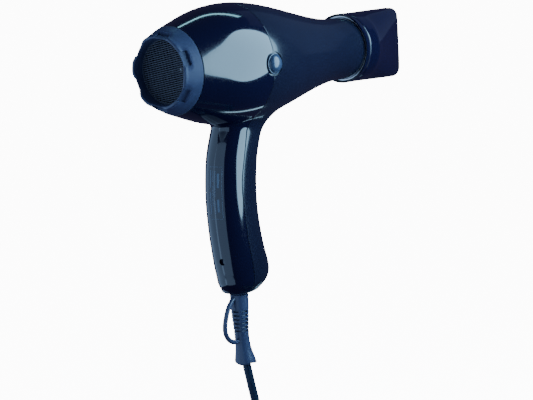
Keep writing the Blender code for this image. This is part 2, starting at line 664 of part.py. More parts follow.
RELIEF_RINGS = (                  # z, centre x, radius
    (-156.4, 54.0, 7.4), (-156.8, 54.0, 8.1), (-158.8, 54.0, 8.1), (-158.9, 54.0, 5.7),
    (-162.9, 54.0, 5.7), (-163.2, 54.0, 6.65), (-174.0, 53.9, 6.5), (-190.0, 54.2, 5.4), (-198.0, 54.7, 5.3),
    (-206.0, 55.7, 6.2), (-211.5, 56.7, 7.5), (-213.6, 57.0, 7.8), (-214.0, 57.0, 7.2))
LOOP_ROUTE = ((52.0, -163.2), (48.4, -165.1), (43.2, -169.9), (38.7, -178.8), (37.3, -186.9),
              (39.4, -192.4), (44.5, -196.4), (51.9, -197.0))
CORD_ROUTE = (                    # from the mouth of the strain relief down to the coil
    (57.3, 0.0, -214.4), (58.9, 0.0, -221.0), (60.5, 0.0, -227.6), (62.1, 0.0, -234.2),
    (63.8, 0.0, -240.8), (65.6, 0.0, -247.4), (68.0, 0.0, -254.4), (71.6, 0.0, -261.6),
    (76.8, 0.0, -268.2), (83.4, 0.0, -273.6), (91.0, 0.0, -277.4), (99.6, 0.0, -279.6),
    (107.0, 0.0, -280.2), (112.0, 0.0, -280.2))
TAIL_ROUTE = (                    # from the coil to the plug
    (112.0, -100.0, -280.4), (107.0, -100.4, -281.4), (102.0, -102.0, -282.2), (97.5, -105.0, -282.4),
    (93.5, -108.0, -281.8), (89.5, -110.2, -280.6), (85.5, -110.8, -279.8), (80.8, -110.8, -279.7))


def round_ring(z, x, radius, count=16):
    return [at(x + radius * math.cos(a), radius * math.sin(a), z)
            for a in np.linspace(0, math.tau, count, endpoint=False)]


def sweep(points, radius, sides=8):
    """Rings of a round bar along barrel points in the plane y = 0."""
    path = [Vector(p) for p in points]
    rings = []
    for k, point in enumerate(path):
        ahead = (path[min(k + 1, len(path) - 1)] - path[max(k - 1, 0)]).normalized()
        flat = Vector((0, 1, 0))
        other = ahead.cross(flat)
        rings.append([at(*(point + radius * (math.cos(a) * flat + math.sin(a) * other)))
                      for a in np.linspace(0, math.tau, sides, endpoint=False)])
    return rings


def build_strain_relief():
    bore = 3.5
    outer = [round_ring(z, x, radius) for z, x, radius in RELIEF_RINGS]
    inner = [round_ring(-214.0, 57.0, 4.6), round_ring(-211.0, 56.6, bore),
             round_ring(-198.0, 54.7, bore), round_ring(-174.0, 53.9, bore),
             round_ring(-156.4, 54.0, bore)]
    relief = add_object("strain_relief", rings_bmesh(outer + inner, looped=True), "satin_blue_grey")
    route = smooth_route([(x, 0.0, z) for x, z in LOOP_ROUTE], 4.0)
    start, end = Vector(route[0]), Vector(route[-1])
    route[0], route[-1] = (start.x - 1.8, 0.0, start.z - 1.2), (end.x - 0.6, 0.0, end.z)
    loop = add_object("hang_loop_form", rings_bmesh(sweep(route, 1.7)), "satin_blue_grey")
    combine(relief, loop, "UNION")


def build_cord_entry():
    core = ((57.15, 0.0, -214.1), (56.55, 0.0, -210.0), (55.4, 0.0, -203.0), (54.7, 0.0, -197.0),
            (54.2, 0.0, -189.0), (54.0, 0.0, -176.0), (54.0, 0.0, -160.0), (54.0, 0.0, -145.5))
    tube("cord_entry", smooth_route(core, 7.0), CORD_RADIUS, "cord_rubber")
    clamp = box("cord_clamp", (54, 0, -149.0), (20.5, 13, 4.4), "black_plastic", bevel=0.8)
    hole = add_object("clamp_hole_cutter", rod_bmesh(8, CORD_RADIUS + GAP, 16), "black_plastic",
                      origin=(54, 0, -153))
    combine(clamp, hole, "DIFFERENCE")
    for name, x in (("clamp_screw_rear", 46.8), ("clamp_screw_front", 61.2)):
        head = ((0.3, 0), (0.3, 2.2), (1.6, 2.2), (2.1, 1.5), (2.1, 0))
        add_object(name, turned(head, 14, closed=False), "steel", origin=(x, 0, -146.8))
    for name, side in (("wire_brown", 1), ("wire_blue", -1)):
        route = ((54.0, side * 1.5, -144.4), (54.0, side * 2.6, -143.2), (53.0, side * 5.6, -140.0),
                 (51.0, side * 7.8, -134.0), (51.0, side * 7.8, -126.0), (54.0, side * 6.4, -119.0),
                 (57.0, side * 4.0, -114.9))
        if side < 0:
            route = ((54.0, -1.5, -144.4), (56.0, -1.6, -143.0), (60.0, 3.0, -140.6),
                     (62.5, 5.0, -135.0), (62.5, 4.0, -126.0), (60.0, -1.0, -119.0), (58.0, -4.0, -114.9))
        tube(name, smooth_route(route, 3.2), 0.9, name, resolution=1)


def coil_section():
    """Corner-rounded outline of the wound bundle, as (height, radius) points."""
    corner = 3.0
    low, high = TIE_THICKNESS + 0.5, TIE_THICKNESS + 0.5 + COIL_HEIGHT
    inside, outside = COIL_MEAN_RADIUS - COIL_HALF_WIDTH, COIL_MEAN_RADIUS + COIL_HALF_WIDTH
    outline = []
    corners = ((low, outside, -90), (high, outside, 0), (high, inside, 90), (low, inside, 180))
    for z, r, turn in corners:
        centre_z = z + (corner if z == low else -corner)
        centre_r = r + (corner if r == inside else -corner)
        for step in (0, 45, 90):
            angle = math.radians(turn + step)
            outline.append((centre_z + corner * math.sin(angle), centre_r + corner * math.cos(angle)))
    return outline


def build_cord():
    tube("cord", smooth_route(CORD_ROUTE, 8.0), CORD_RADIUS, "cord_rubber")
    tube("cord_tail", smooth_route(TAIL_ROUTE, 4.0), CORD_RADIUS, "cord_rubber")
    centre = (*COIL_CENTRE, FLOOR_Z)
    add_object("cord_coil", turned(coil_section(), 32), "cord_rubber", origin=centre)

    outside = [(r - COIL_MEAN_RADIUS, z - TIE_THICKNESS - 0.5 - COIL_HEIGHT / 2) for z, r in coil_section()]
    rings = []
    turn = math.radians(-150.0)
    radial = Vector((math.cos(turn), math.sin(turn), 0))
    along = Vector((-math.sin(turn), math.cos(turn), 0))
    middle = Vector((*COIL_CENTRE, FLOOR_Z + TIE_THICKNESS + 0.5 + COIL_HEIGHT / 2)) + radial * COIL_MEAN_RADIUS
    for width, spread in ((-6.0, GAP + TIE_THICKNESS), (6.0, GAP + TIE_THICKNESS), (6.0, GAP + 0.5),
                          (-6.0, GAP + 0.5)):
        half_w, half_h = COIL_HALF_WIDTH, COIL_HEIGHT / 2
        ring = []
        for r, z in outside:
            curve_in = COIL_MEAN_RADIUS - math.sqrt(COIL_MEAN_RADIUS ** 2 - width ** 2)
            reach_r = r * (half_w + spread) / half_w - curve_in * 0.5
            reach_z = z * (half_h + spread) / half_h
            ring.append(at(*(middle + radial * reach_r + Vector((0, 0, reach_z)) + along * width)))
        rings.append(ring)
    add_object("cord_tie", rings_bmesh(rings, looped=True), "black_plastic")


def plug_ring(x, half_y, half_z, power, centre_z):
    z, y = superellipse(0.0, half_z, half_y, power, np.linspace(0, math.tau, 20, endpoint=False))
    return [at(x, PLUG_CENTRE[1] + b, centre_z + a) for a, b in zip(z, y)]


def build_plug():
    centre_z = FLOOR_Z + 6.9
    face_x = PLUG_CENTRE[0] - 20.0
    sections = ((0.0, 16.6, 6.2, 5), (1.2, 17.4, 6.8, 5), (8.0, 17.5, 6.8, 5), (14.0, 14.5, 6.8, 4),
                (22.0, 8.8, 6.6, 3), (28.0, 5.8, 5.6, 2.2), (34.0, 4.2, 4.2, 2))
    rings = [plug_ring(face_x + x, y, z, power, centre_z + (0.0 if x < 30 else -0.6))
             for x, y, z, power in sections]
    add_object("plug_body", rings_bmesh(rings), "cord_rubber")
    pin = ((0, 0), (0, 1.6), (1.0, 2.4), (18.7, 2.4), (18.7, 0))
    for name, side in (("plug_pin_left", 1), ("plug_pin_right", -1)):
        add_object(name, turned(pin, 14, closed=False), "steel", turn=ALONG_X,
                   origin=(face_x - 19.0, PLUG_CENTRE[1] + side * 9.3, centre_z))


def main():
    clear_scene()
    build_shell()
    build_intake()
    build_air_path()
    build_heater()
    build_nozzle()
    build_switches()
    build_strain_relief()
    build_cord_entry()
    build_cord()
    build_plug()


main()
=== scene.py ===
"""Looks of a travel hair dryer with its concentrator nozzle and mains lead.

Every class below is one sub-assembly. It holds its sizes as fields, builds its meshes and dresses
them in their finishes. Shapes are laid out in barrel axes, in millimetres: x runs forward from the
seam of the intake cap, y and z are measured from the barrel's centre line. place() and as_object()
turn them into the row frame, in metres, whose origin is the middle of the handle.
"""

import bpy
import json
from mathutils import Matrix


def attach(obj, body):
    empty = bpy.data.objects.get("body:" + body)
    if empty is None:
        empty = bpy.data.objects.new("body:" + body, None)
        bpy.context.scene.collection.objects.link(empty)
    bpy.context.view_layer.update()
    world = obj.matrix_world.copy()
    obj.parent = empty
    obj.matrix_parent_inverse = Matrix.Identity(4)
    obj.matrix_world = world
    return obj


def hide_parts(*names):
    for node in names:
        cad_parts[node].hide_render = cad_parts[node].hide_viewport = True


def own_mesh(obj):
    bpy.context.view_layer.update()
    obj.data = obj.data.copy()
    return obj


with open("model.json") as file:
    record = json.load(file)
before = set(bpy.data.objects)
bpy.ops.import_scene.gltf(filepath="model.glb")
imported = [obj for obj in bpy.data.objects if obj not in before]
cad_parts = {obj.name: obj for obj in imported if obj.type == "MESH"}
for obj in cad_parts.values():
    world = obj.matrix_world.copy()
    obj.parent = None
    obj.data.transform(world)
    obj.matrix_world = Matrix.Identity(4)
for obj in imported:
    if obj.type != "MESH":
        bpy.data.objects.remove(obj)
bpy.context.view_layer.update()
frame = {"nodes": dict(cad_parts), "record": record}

import json
import logging
import math
from dataclasses import dataclass, field
from enum import Enum
from typing import Callable, Iterable, Sequence

import bmesh
import bpy
import numpy as np
from mathutils import Matrix, Vector

LOG = logging.getLogger("hair_dryer")

MM = 0.001
GRIP = Vector((52.5, 0.0, -100.0))      # middle of the handle, the row frame's origin
GAP = 0.3                               # clearance between touching pieces
BARREL_END_X = 196.0
SEAM_X = 57.5                           # parting plane of the two shell halves on the barrel
FLOOR_Z = -286.0
SMOOTH_ANGLE = math.radians(32.0)

Point = tuple[float, float, float]
Knots = Sequence[tuple[float, float]]


class Body(str, Enum):
    """Rigid bodies of the frame that pieces ride on."""

    HOUSING = "housing"
    INTAKE = "intake"
    NOZZLE = "nozzle"
    SPEED = "speed_switch"
    HEAT = "heat_switch"
    COLD_SHOT = "cold_shot"


class Along(Enum):
    """Axis that a turned piece points along, as its turn about the upright."""

    FRONT = 0.0
    LEFT = math.pi / 2
    RIGHT = -math.pi / 2


class LightShape(str, Enum):
    """Outline of a softbox."""

    RECTANGLE = "RECTANGLE"
    ELLIPSE = "ELLIPSE"


class Slot(str, Enum):
    """Material slots of the record."""

    NAVY = "gloss_navy"
    SLATE = "gloss_slate"
    SATIN = "satin_blue_grey"
    BLACK = "black_plastic"
    WHITE = "white_plastic"
    MICA = "mica"
    STEEL = "steel"
    RUBBER = "cord_rubber"
    BROWN = "wire_brown"
    BLUE = "wire_blue"


def place(point: Iterable[float]) -> Vector:
    """Return the row-frame point, in metres, of a point in barrel axes, in millimetres."""
    return (Vector(point) - GRIP) * MM


# ------------------------------------------------------------------ curves and lofts

def curve_through(knots: Knots) -> Callable[[np.ndarray], np.ndarray]:
    """Natural cubic spline through knots.

    Args:
        knots: (position, value) pairs.

    Returns:
        The value as a function of position, clamped at both ends.
    """
    xs, ys = np.array(sorted(knots), dtype=float).T
    steps = np.diff(xs)
    count = len(xs)
    system = np.eye(count)
    right = np.zeros(count)
    for i in range(1, count - 1):
        system[i, i - 1:i + 2] = steps[i - 1], 2 * (steps[i - 1] + steps[i]), steps[i]
        right[i] = 6 * ((ys[i + 1] - ys[i]) / steps[i] - (ys[i] - ys[i - 1]) / steps[i - 1])
    bend = np.linalg.solve(system, right)

    def value(x: np.ndarray) -> np.ndarray:
        """Value of the spline.

        Args:
            x: Positions, clamped to the knots' range.

        Returns:
            The value at each position.
        """
        x = np.clip(x, xs[0], xs[-1])
        i = np.clip(np.searchsorted(xs, x) - 1, 0, count - 2)
        a, b = (xs[i + 1] - x) / steps[i], (x - xs[i]) / steps[i]
        curve = ((a ** 3 - a) * bend[i] + (b ** 3 - b) * bend[i + 1]) * steps[i] ** 2 / 6
        return a * ys[i] + b * ys[i + 1] + curve

    return value


def smooth_route(points: Sequence[Point], step: float) -> list[Point]:
    """Evenly spaced points on a smooth curve through the given points.

    Args:
        points: The points to pass through, in millimetres.
        step: Wanted spacing, in millimetres.

    Returns:
        Points about step apart, the first and last of the route among them.
    """
    route = np.array(points, dtype=float)
    chord = np.concatenate(([0.0], np.cumsum(np.linalg.norm(np.diff(route, axis=0), axis=1))))
    axes = [curve_through(list(zip(chord, route[:, axis]))) for axis in range(3)]
    fine = np.linspace(0.0, chord[-1], 12 * len(route) + 400)
    path = np.stack([axis(fine) for axis in axes], axis=1)
    run = np.concatenate(([0.0], np.cumsum(np.linalg.norm(np.diff(path, axis=0), axis=1))))
    wanted = np.linspace(0.0, run[-1], max(3, round(run[-1] / step) + 1))
    return [tuple(float(np.interp(s, run, path[:, axis])) for axis in range(3)) for s in wanted]


def smoothstep(share: float) -> float:
    """Ease a share between 0 and 1."""
    share = min(1.0, max(0.0, share))
    return share * share * (3.0 - 2.0 * share)


def superellipse(half_a: float, half_b: float, power: float, count: int) -> list[tuple[float, float]]:
    """Points round a superellipse.

    Args:
        half_a: Half size along the first axis.
        half_b: Half size along the second axis.
        power: 2 for an ellipse, more for squarer corners.
        count: Number of points.

    Returns:
        (a, b) pairs, evenly spread in angle from +a.
    """
    angles = np.linspace(0.0, math.tau, count, endpoint=False)
    cos, sin = np.cos(angles), np.sin(angles)
    a = half_a * np.sign(cos) * np.abs(cos) ** (2.0 / power)
    b = half_b * np.sign(sin) * np.abs(sin) ** (2.0 / power)
    return list(zip(a.tolist(), b.tolist()))


def extrude_ring(bm: bmesh.types.BMesh, ring: list, points: Sequence[Point]) -> list:
    """Extrude a closed ring of vertices onto new points.

    Args:
        bm: The mesh that holds the ring.
        ring: Vertices in order round the ring.
        points: Where each of them goes.

    Returns:
        The new ring, in the same order.
    """
    pairs = zip(ring, ring[1:] + ring[:1])
    edges = [bm.edges.get(pair) for pair in pairs]
    made = bmesh.ops.extrude_edge_only(bm, edges=edges)["geom"]
    fresh = {item for item in made if isinstance(item, bmesh.types.BMVert)}
    result = []
    for vert, point in zip(ring, points):
        twin = next(edge.other_vert(vert) for edge in vert.link_edges if edge.other_vert(vert) in fresh)
        twin.co = point
        result.append(twin)
    return result


def loft(rings: Sequence[Sequence[Point]], looped: bool = False) -> bmesh.types.BMesh:
    """Skin closed rings of points, by extruding the first ring through the others.

    Args:
        rings: Rings with the same number of points.
        looped: True to join the last ring to the first, False to close both ends.

    Returns:
        A bmesh in millimetres with its faces turned outwards.
    """
    bm = bmesh.new()
    start = bmesh.ops.create_circle(bm, cap_ends=False, segments=len(rings[0]), radius=1.0)["verts"]
    for vert, point in zip(start, rings[0]):
        vert.co = point
    ring = list(start)
    for points in rings[1:]:
        ring = extrude_ring(bm, ring, points)
    ends = [[bm.edges.get(pair) for pair in zip(loop, loop[1:] + loop[:1])] for loop in (list(start), ring)]
    if looped:
        bmesh.ops.bridge_loops(bm, edges=ends[0] + ends[1])
    else:
        for edges in ends:
            bmesh.ops.edgeloop_fill(bm, edges=edges)
    bmesh.ops.recalc_face_normals(bm, faces=bm.faces[:])
    return bm


def turned(profile: Knots, segments: int, centre: Point = (0, 0, 0), axis: Along = Along.FRONT,
           closed: bool = True) -> bmesh.types.BMesh:
    """Spin a profile a full turn.

    Args:
        profile: (along, radius) points, in millimetres, in order.
        segments: Steps of the spin.
        centre: Point that the axis passes through.
        axis: Where the profile's along points.
        closed: True where the profile is a loop, False where it ends on the axis.

    Returns:
        A closed bmesh with its faces turned outwards.
    """
    bm = bmesh.new()
    points = [bm.verts.new((along, 0.0, radius)) for along, radius in profile]
    pairs = list(zip(points, points[1:]))
    if closed:
        pairs.append((points[-1], points[0]))
    edges = [bm.edges.new(pair) for pair in pairs]
    bmesh.ops.spin(bm, geom=points + edges, cent=(0, 0, 0), axis=(1, 0, 0), angle=math.tau,
                   steps=segments, use_merge=True)
    bmesh.ops.remove_doubles(bm, verts=bm.verts[:], dist=0.002)
    bmesh.ops.recalc_face_normals(bm, faces=bm.faces[:])
    bm.transform(Matrix.Translation(centre) @ Matrix.Rotation(axis.value, 4, "Z"))
    return bm


def rounded_box(centre: Point, size: Point, bevel: float, segments: int = 3) -> bmesh.types.BMesh:
    """Box in millimetres with its edges rounded.

    Args:
        centre: Its centre.
        size: Its size along x, y and z.
        bevel: Radius of the rounding.
        segments: Steps of the rounding.

    Returns:
        A closed bmesh.
    """
    bm = bmesh.new()
    bmesh.ops.create_cube(bm, size=1.0, matrix=Matrix.Translation(centre) @ Matrix.Diagonal((*size, 1.0)))
    if bevel:
        bmesh.ops.bevel(bm, geom=bm.edges[:], offset=bevel, segments=segments, profile=0.5,
                        affect="EDGES", material=-1)
    return bm


def soften(bm: bmesh.types.BMesh, offset: float, segments: int = 2, least: float = 40.0) -> None:
    """Round the edges of a bmesh that are sharper than an angle.

    Args:
        bm: The mesh, changed in place.
        offset: Size of the rounding, in millimetres.
        segments: Steps of the rounding.
        least: Smallest angle between faces that is rounded, in degrees.
    """
    edges = [edge for edge in bm.edges
             if len(edge.link_faces) == 2 and edge.calc_face_angle(0.0) > math.radians(least)]
    bmesh.ops.bevel(bm, geom=edges, offset=offset, segments=segments, profile=0.5, affect="EDGES",
                    material=-1, clamp_overlap=True)


def merged(parts: Sequence[bmesh.types.BMesh]) -> bmesh.types.BMesh:
    """Join several bmeshes into one.

    Args:
        parts: The bmeshes, which are freed.

    Returns:
        One bmesh that holds them all.
    """
    whole = bmesh.new()
    for part in parts:
        holder = bpy.data.meshes.new("holder")
        part.to_mesh(holder)
        part.free()
        whole.from_mesh(holder)
        bpy.data.meshes.remove(holder)
    return whole


def as_object(name: str, bm: bmesh.types.BMesh) -> bpy.types.Object:
    """Make an object at the origin from a bmesh in millimetres, placed in the row frame.

    Args:
        name: The object's name.
        bm: The mesh, which is freed.

    Returns:
        The object, smooth shaded and linked to the scene.
    """
    bm.transform(Matrix.Scale(MM, 4) @ Matrix.Translation(-GRIP))
    mesh = bpy.data.meshes.new(name)
    bm.to_mesh(mesh)
    bm.free()
    mesh.shade_smooth()
    mesh.set_sharp_from_angle(angle=SMOOTH_ANGLE)
    item = bpy.data.objects.new(name, mesh)
    bpy.context.scene.collection.objects.link(item)
    return item


def carve(item: bpy.types.Object, tools: Sequence[bmesh.types.BMesh]) -> None:
    """Cut other shapes out of an object and keep the result as its mesh.

    Args:
        item: The object to change.
        tools: Closed bmeshes in millimetres, which are freed.
    """
    helpers = [as_object(f"{item.name}_tool", tool) for tool in tools]
    for helper in helpers:
        modifier = item.modifiers.new("cut", "BOOLEAN")
        modifier.object = helper
        modifier.operation = "DIFFERENCE"
        modifier.solver = "EXACT"
    bpy.context.view_layer.update()
    shaped = item.evaluated_get(bpy.context.evaluated_depsgraph_get())
    mesh = bpy.data.meshes.new_from_object(shaped)
    mesh.name = item.name
    item.modifiers.clear()
    old, item.data = item.data, mesh
    bpy.data.meshes.remove(old)
    mesh.materials.clear()
    for helper in helpers:
        left = helper.data
        bpy.data.objects.remove(helper, do_unlink=True)
        bpy.data.meshes.remove(left)
    mesh.shade_smooth()
    mesh.set_sharp_from_angle(angle=SMOOTH_ANGLE)


def publish(item: bpy.types.Object, finish: bpy.types.Material, body: Body, slot: Slot,
            *stands_for: str) -> bpy.types.Object:
    """Dress an object, hang it on the body that it moves with, and hide the CAD nodes that it stands for.

    Args:
        item: The finished piece.
        finish: Its material.
        body: The body that it moves with.
        slot: The record's material slot; not used.
        *stands_for: CAD nodes that it replaces.

    Returns:
        The same object.
    """
    item.data.materials.clear()
    item.data.materials.append(finish)
    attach(item, body.value)
    if stands_for:
        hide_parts(*stands_for)
    LOG.info("piece %s rides on %s", item.name, body.value)
    return item


# ------------------------------------------------------------------ finishes

class NodeSheet:
    """Short hand for placing and linking shader nodes in one tree."""

    def __init__(self, tree: bpy.types.NodeTree) -> None:
        """Keep the tree that nodes are placed in."""
        self.tree = tree

    def add(self, kind: str, inputs: dict | None = None, **settings: object) -> bpy.types.Node:
        """Place a node.

        Args:
            kind: Its Blender type.
            inputs: Values or output sockets for its inputs, by name or index.
            **settings: Attributes of the node.

        Returns:
            The node.
        """
        node = self.tree.nodes.new(kind)
        for name, value in settings.items():
            setattr(node, name, value)
        for key, value in (inputs or {}).items():
            if isinstance(value, bpy.types.NodeSocket):
                self.tree.links.new(value, node.inputs[key])
            else:
                node.inputs[key].default_value = value
        return node

    def use(self, group: bpy.types.NodeTree, inputs: dict) -> bpy.types.Node:
        """Place a node group and set its inputs."""
        return self.add("ShaderNodeGroup", inputs, node_tree=group)


def start_material(name: str) -> tuple[bpy.types.Material, NodeSheet, bpy.types.Node]:
    """Make a material that holds only its shader.

    Args:
        name: The material's name.

    Returns:
        The material, a sheet for its nodes, and the shader.
    """
    material = bpy.data.materials.new(name)
    material.use_nodes = True
    return material, NodeSheet(material.node_tree), material.node_tree.nodes["Principled BSDF"]


def make_group(name: str, inputs: dict[str, object], outputs: dict[str, str],
               build: Callable[[NodeSheet, bpy.types.Node], dict]) -> bpy.types.NodeTree:
    """Make a shader node group with named sockets.

    Args:
        name: The group's name.
        inputs: Default of each input; a colour is a four number tuple.
        outputs: Socket type of each output, by name.
        build: Places the nodes and returns the output sockets by name.

    Returns:
        The group.
    """
    tree = bpy.data.node_groups.new(name, "ShaderNodeTree")
    for label, default in inputs.items():
        kind = "NodeSocketColor" if isinstance(default, tuple) else "NodeSocketFloat"
        socket = tree.interface.new_socket(name=label, in_out="INPUT", socket_type=kind)
        socket.default_value = default
    for label, kind in outputs.items():
        tree.interface.new_socket(name=label, in_out="OUTPUT", socket_type=kind)
    sheet = NodeSheet(tree)
    entry = sheet.add("NodeGroupInput")
    leave = sheet.add("NodeGroupOutput")
    for label, socket in build(sheet, entry).items():
        tree.links.new(socket, leave.inputs[label])
    return tree


def moulded_surface(sheet: NodeSheet, entry: bpy.types.Node) -> dict:
    """Fine grain, long waves from the mould and patches of handling, on Object coordinates.

    Args:
        sheet: The group's sheet.
        entry: The group's input node.

    Returns:
        The output sockets by name.
    """
    where = sheet.add("ShaderNodeTexCoord").outputs["Object"]
    grain = sheet.add("ShaderNodeTexNoise", {"Vector": where, "Scale": entry.outputs["Grain Scale"],
                                             "Detail": 4.0, "Roughness": 0.55})
    waves = sheet.add("ShaderNodeTexNoise", {"Vector": where, "Scale": entry.outputs["Wave Scale"],
                                             "Detail": 2.0})
    smudge = sheet.add("ShaderNodeTexNoise", {"Vector": where, "Scale": 26.0, "Detail": 6.0,
                                              "Roughness": 0.6, "Distortion": 0.8})
    height = sheet.add("ShaderNodeMath", {0: grain.outputs["Fac"], 1: entry.outputs["Grain Depth"]},
                       operation="MULTIPLY")
    long_height = sheet.add("ShaderNodeMath", {0: waves.outputs["Fac"], 1: entry.outputs["Wave Depth"]},
                            operation="MULTIPLY")
    total = sheet.add("ShaderNodeMath", {0: height.outputs[0], 1: long_height.outputs[0]}, operation="ADD")
    patch = sheet.add("ShaderNodeMapRange", {"Value": smudge.outputs["Fac"], "From Min": 0.35,
                                             "From Max": 0.75, "To Min": 0.0, "To Max": 1.0})
    spread = sheet.add("ShaderNodeMath", {0: patch.outputs["Result"], 1: entry.outputs["Smudge"],
                                          2: entry.outputs["Roughness"]}, operation="MULTIPLY_ADD")
    return {"Height": total.outputs[0], "Roughness": spread.outputs[0], "Patches": patch.outputs["Result"]}


def edge_wear(sheet: NodeSheet, entry: bpy.types.Node) -> dict:
    """Lighter colour along worn outer edges, broken up by noise.

    Args:
        sheet: The group's sheet.
        entry: The group's input node.

    Returns:
        The output sockets by name.
    """
    shape = sheet.add("ShaderNodeNewGeometry").outputs["Pointiness"]
    where = sheet.add("ShaderNodeTexCoord").outputs["Object"]
    edge = sheet.add("ShaderNodeMapRange", {"Value": shape, "From Min": 0.515, "From Max": 0.60,
                                            "To Min": 0.0, "To Max": 1.0})
    noise = sheet.add("ShaderNodeTexNoise", {"Vector": where, "Scale": 420.0, "Detail": 4.0})
    broken = sheet.add("ShaderNodeMath", {0: edge.outputs["Result"], 1: noise.outputs["Fac"]},
                       operation="MULTIPLY")
    amount = sheet.add("ShaderNodeMath", {0: broken.outputs[0], 1: entry.outputs["Amount"]},
                       operation="MULTIPLY", use_clamp=True)
    mixed = sheet.add("ShaderNodeMix", {"Factor": amount.outputs[0], 6: entry.outputs["Colour"],
                                        7: entry.outputs["Worn Colour"]}, data_type="RGBA")
    return {"Colour": mixed.outputs[2], "Mask": amount.outputs[0]}


def brushed_lines(sheet: NodeSheet, entry: bpy.types.Node) -> dict:
    """Fine drawn lines round the X axis, for plated and stamped steel.

    Args:
        sheet: The group's sheet.
        entry: The group's input node.

    Returns:
        The output sockets by name.
    """
    where = sheet.add("ShaderNodeTexCoord").outputs["Object"]
    stretched = sheet.add("ShaderNodeMapping", {"Vector": where, "Scale": (4000.0, 90.0, 90.0)})
    lines = sheet.add("ShaderNodeTexNoise", {"Vector": stretched.outputs["Vector"], "Scale": 1.0,
                                             "Detail": 3.0})
    spread = sheet.add("ShaderNodeMath", {0: lines.outputs["Fac"], 1: entry.outputs["Spread"],
                                          2: entry.outputs["Roughness"]}, operation="MULTIPLY_ADD")
    return {"Height": lines.outputs["Fac"], "Roughness": spread.outputs[0]}


class Groups:
    """The shared node groups, made once."""

    def __init__(self) -> None:
        """Build every group."""
        self.moulded = make_group(
            "moulded_surface",
            {"Grain Scale": 1500.0, "Grain Depth": 0.02, "Wave Scale": 30.0, "Wave Depth": 0.1,
             "Roughness": 0.1, "Smudge": 0.05},
            {"Height": "NodeSocketFloat", "Roughness": "NodeSocketFloat", "Patches": "NodeSocketFloat"},
            moulded_surface)
        self.wear = make_group(
            "edge_wear",
            {"Colour": (0.1, 0.1, 0.1, 1.0), "Worn Colour": (0.3, 0.3, 0.3, 1.0), "Amount": 0.5},
            {"Colour": "NodeSocketColor", "Mask": "NodeSocketFloat"}, edge_wear)
        self.brushed = make_group("brushed_lines", {"Roughness": 0.2, "Spread": 0.2},
                                  {"Height": "NodeSocketFloat", "Roughness": "NodeSocketFloat"},
                                  brushed_lines)


@dataclass(frozen=True)
class Plastic:
    """A moulded plastic or rubber finish with grain, waviness, smudges and worn edges."""

    name: str
    colour: Point
    tint: Point
    roughness: float
    smudge: float = 0.03
    coat: float = 0.0
    coat_roughness: float = 0.03
    specular: float = 0.5
    grain_scale: float = 1600.0
    grain_depth: float = 0.0
    wave_scale: float = 30.0
    wave_depth: float = 0.0
    bump_distance: float = 0.0002
    worn_colour: Point = (0.2, 0.22, 0.26)
    wear: float = 0.3

    def make(self, groups: Groups) -> bpy.types.Material:
        """Build the material.

        Args:
            groups: The shared node groups.

        Returns:
            The material.
        """
        material, sheet, shader = start_material(self.name)
        surface = sheet.use(groups.moulded, {
            "Grain Scale": self.grain_scale, "Grain Depth": self.grain_depth,
            "Wave Scale": self.wave_scale, "Wave Depth": self.wave_depth,
            "Roughness": self.roughness, "Smudge": self.smudge})
        shade = sheet.add("ShaderNodeMix", {"Factor": surface.outputs["Patches"],
                                            6: (*self.colour, 1.0), 7: (*self.tint, 1.0)}, data_type="RGBA")
        worn = sheet.use(groups.wear, {"Colour": shade.outputs[2], "Amount": self.wear,
                                       "Worn Colour": (*self.worn_colour, 1.0)})
        bump = sheet.add("ShaderNodeBump", {"Height": surface.outputs["Height"], "Strength": 1.0,
                                            "Distance": self.bump_distance})
        links = material.node_tree.links
        links.new(worn.outputs["Colour"], shader.inputs["Base Color"])
        links.new(surface.outputs["Roughness"], shader.inputs["Roughness"])
        links.new(bump.outputs["Normal"], shader.inputs["Normal"])
        shader.inputs["Coat Weight"].default_value = self.coat
        shader.inputs["Coat Roughness"].default_value = self.coat_roughness
        shader.inputs["Specular IOR Level"].default_value = self.specular
        return material


@dataclass(frozen=True)
class Steel:
    """Plated steel with fine drawn lines."""

    name: str
    colour: Point
    roughness: float
    spread: float

    def make(self, groups: Groups) -> bpy.types.Material:
        """Build the material.

        Args:
            groups: The shared node groups.

        Returns:
            The material.
        """
        material, sheet, shader = start_material(self.name)
        lines = sheet.use(groups.brushed, {"Roughness": self.roughness, "Spread": self.spread})
        worn = sheet.use(groups.wear, {"Colour": (*self.colour, 1.0), "Amount": 0.5,
                                       "Worn Colour": (0.85, 0.85, 0.86, 1.0)})
        bump = sheet.add("ShaderNodeBump", {"Height": lines.outputs["Height"], "Strength": 0.3,
                                            "Distance": 0.00003})
        links = material.node_tree.links
        links.new(worn.outputs["Colour"], shader.inputs["Base Color"])
        links.new(lines.outputs["Roughness"], shader.inputs["Roughness"])
        links.new(bump.outputs["Normal"], shader.inputs["Normal"])
        shader.inputs["Metallic"].default_value = 1.0
        return material


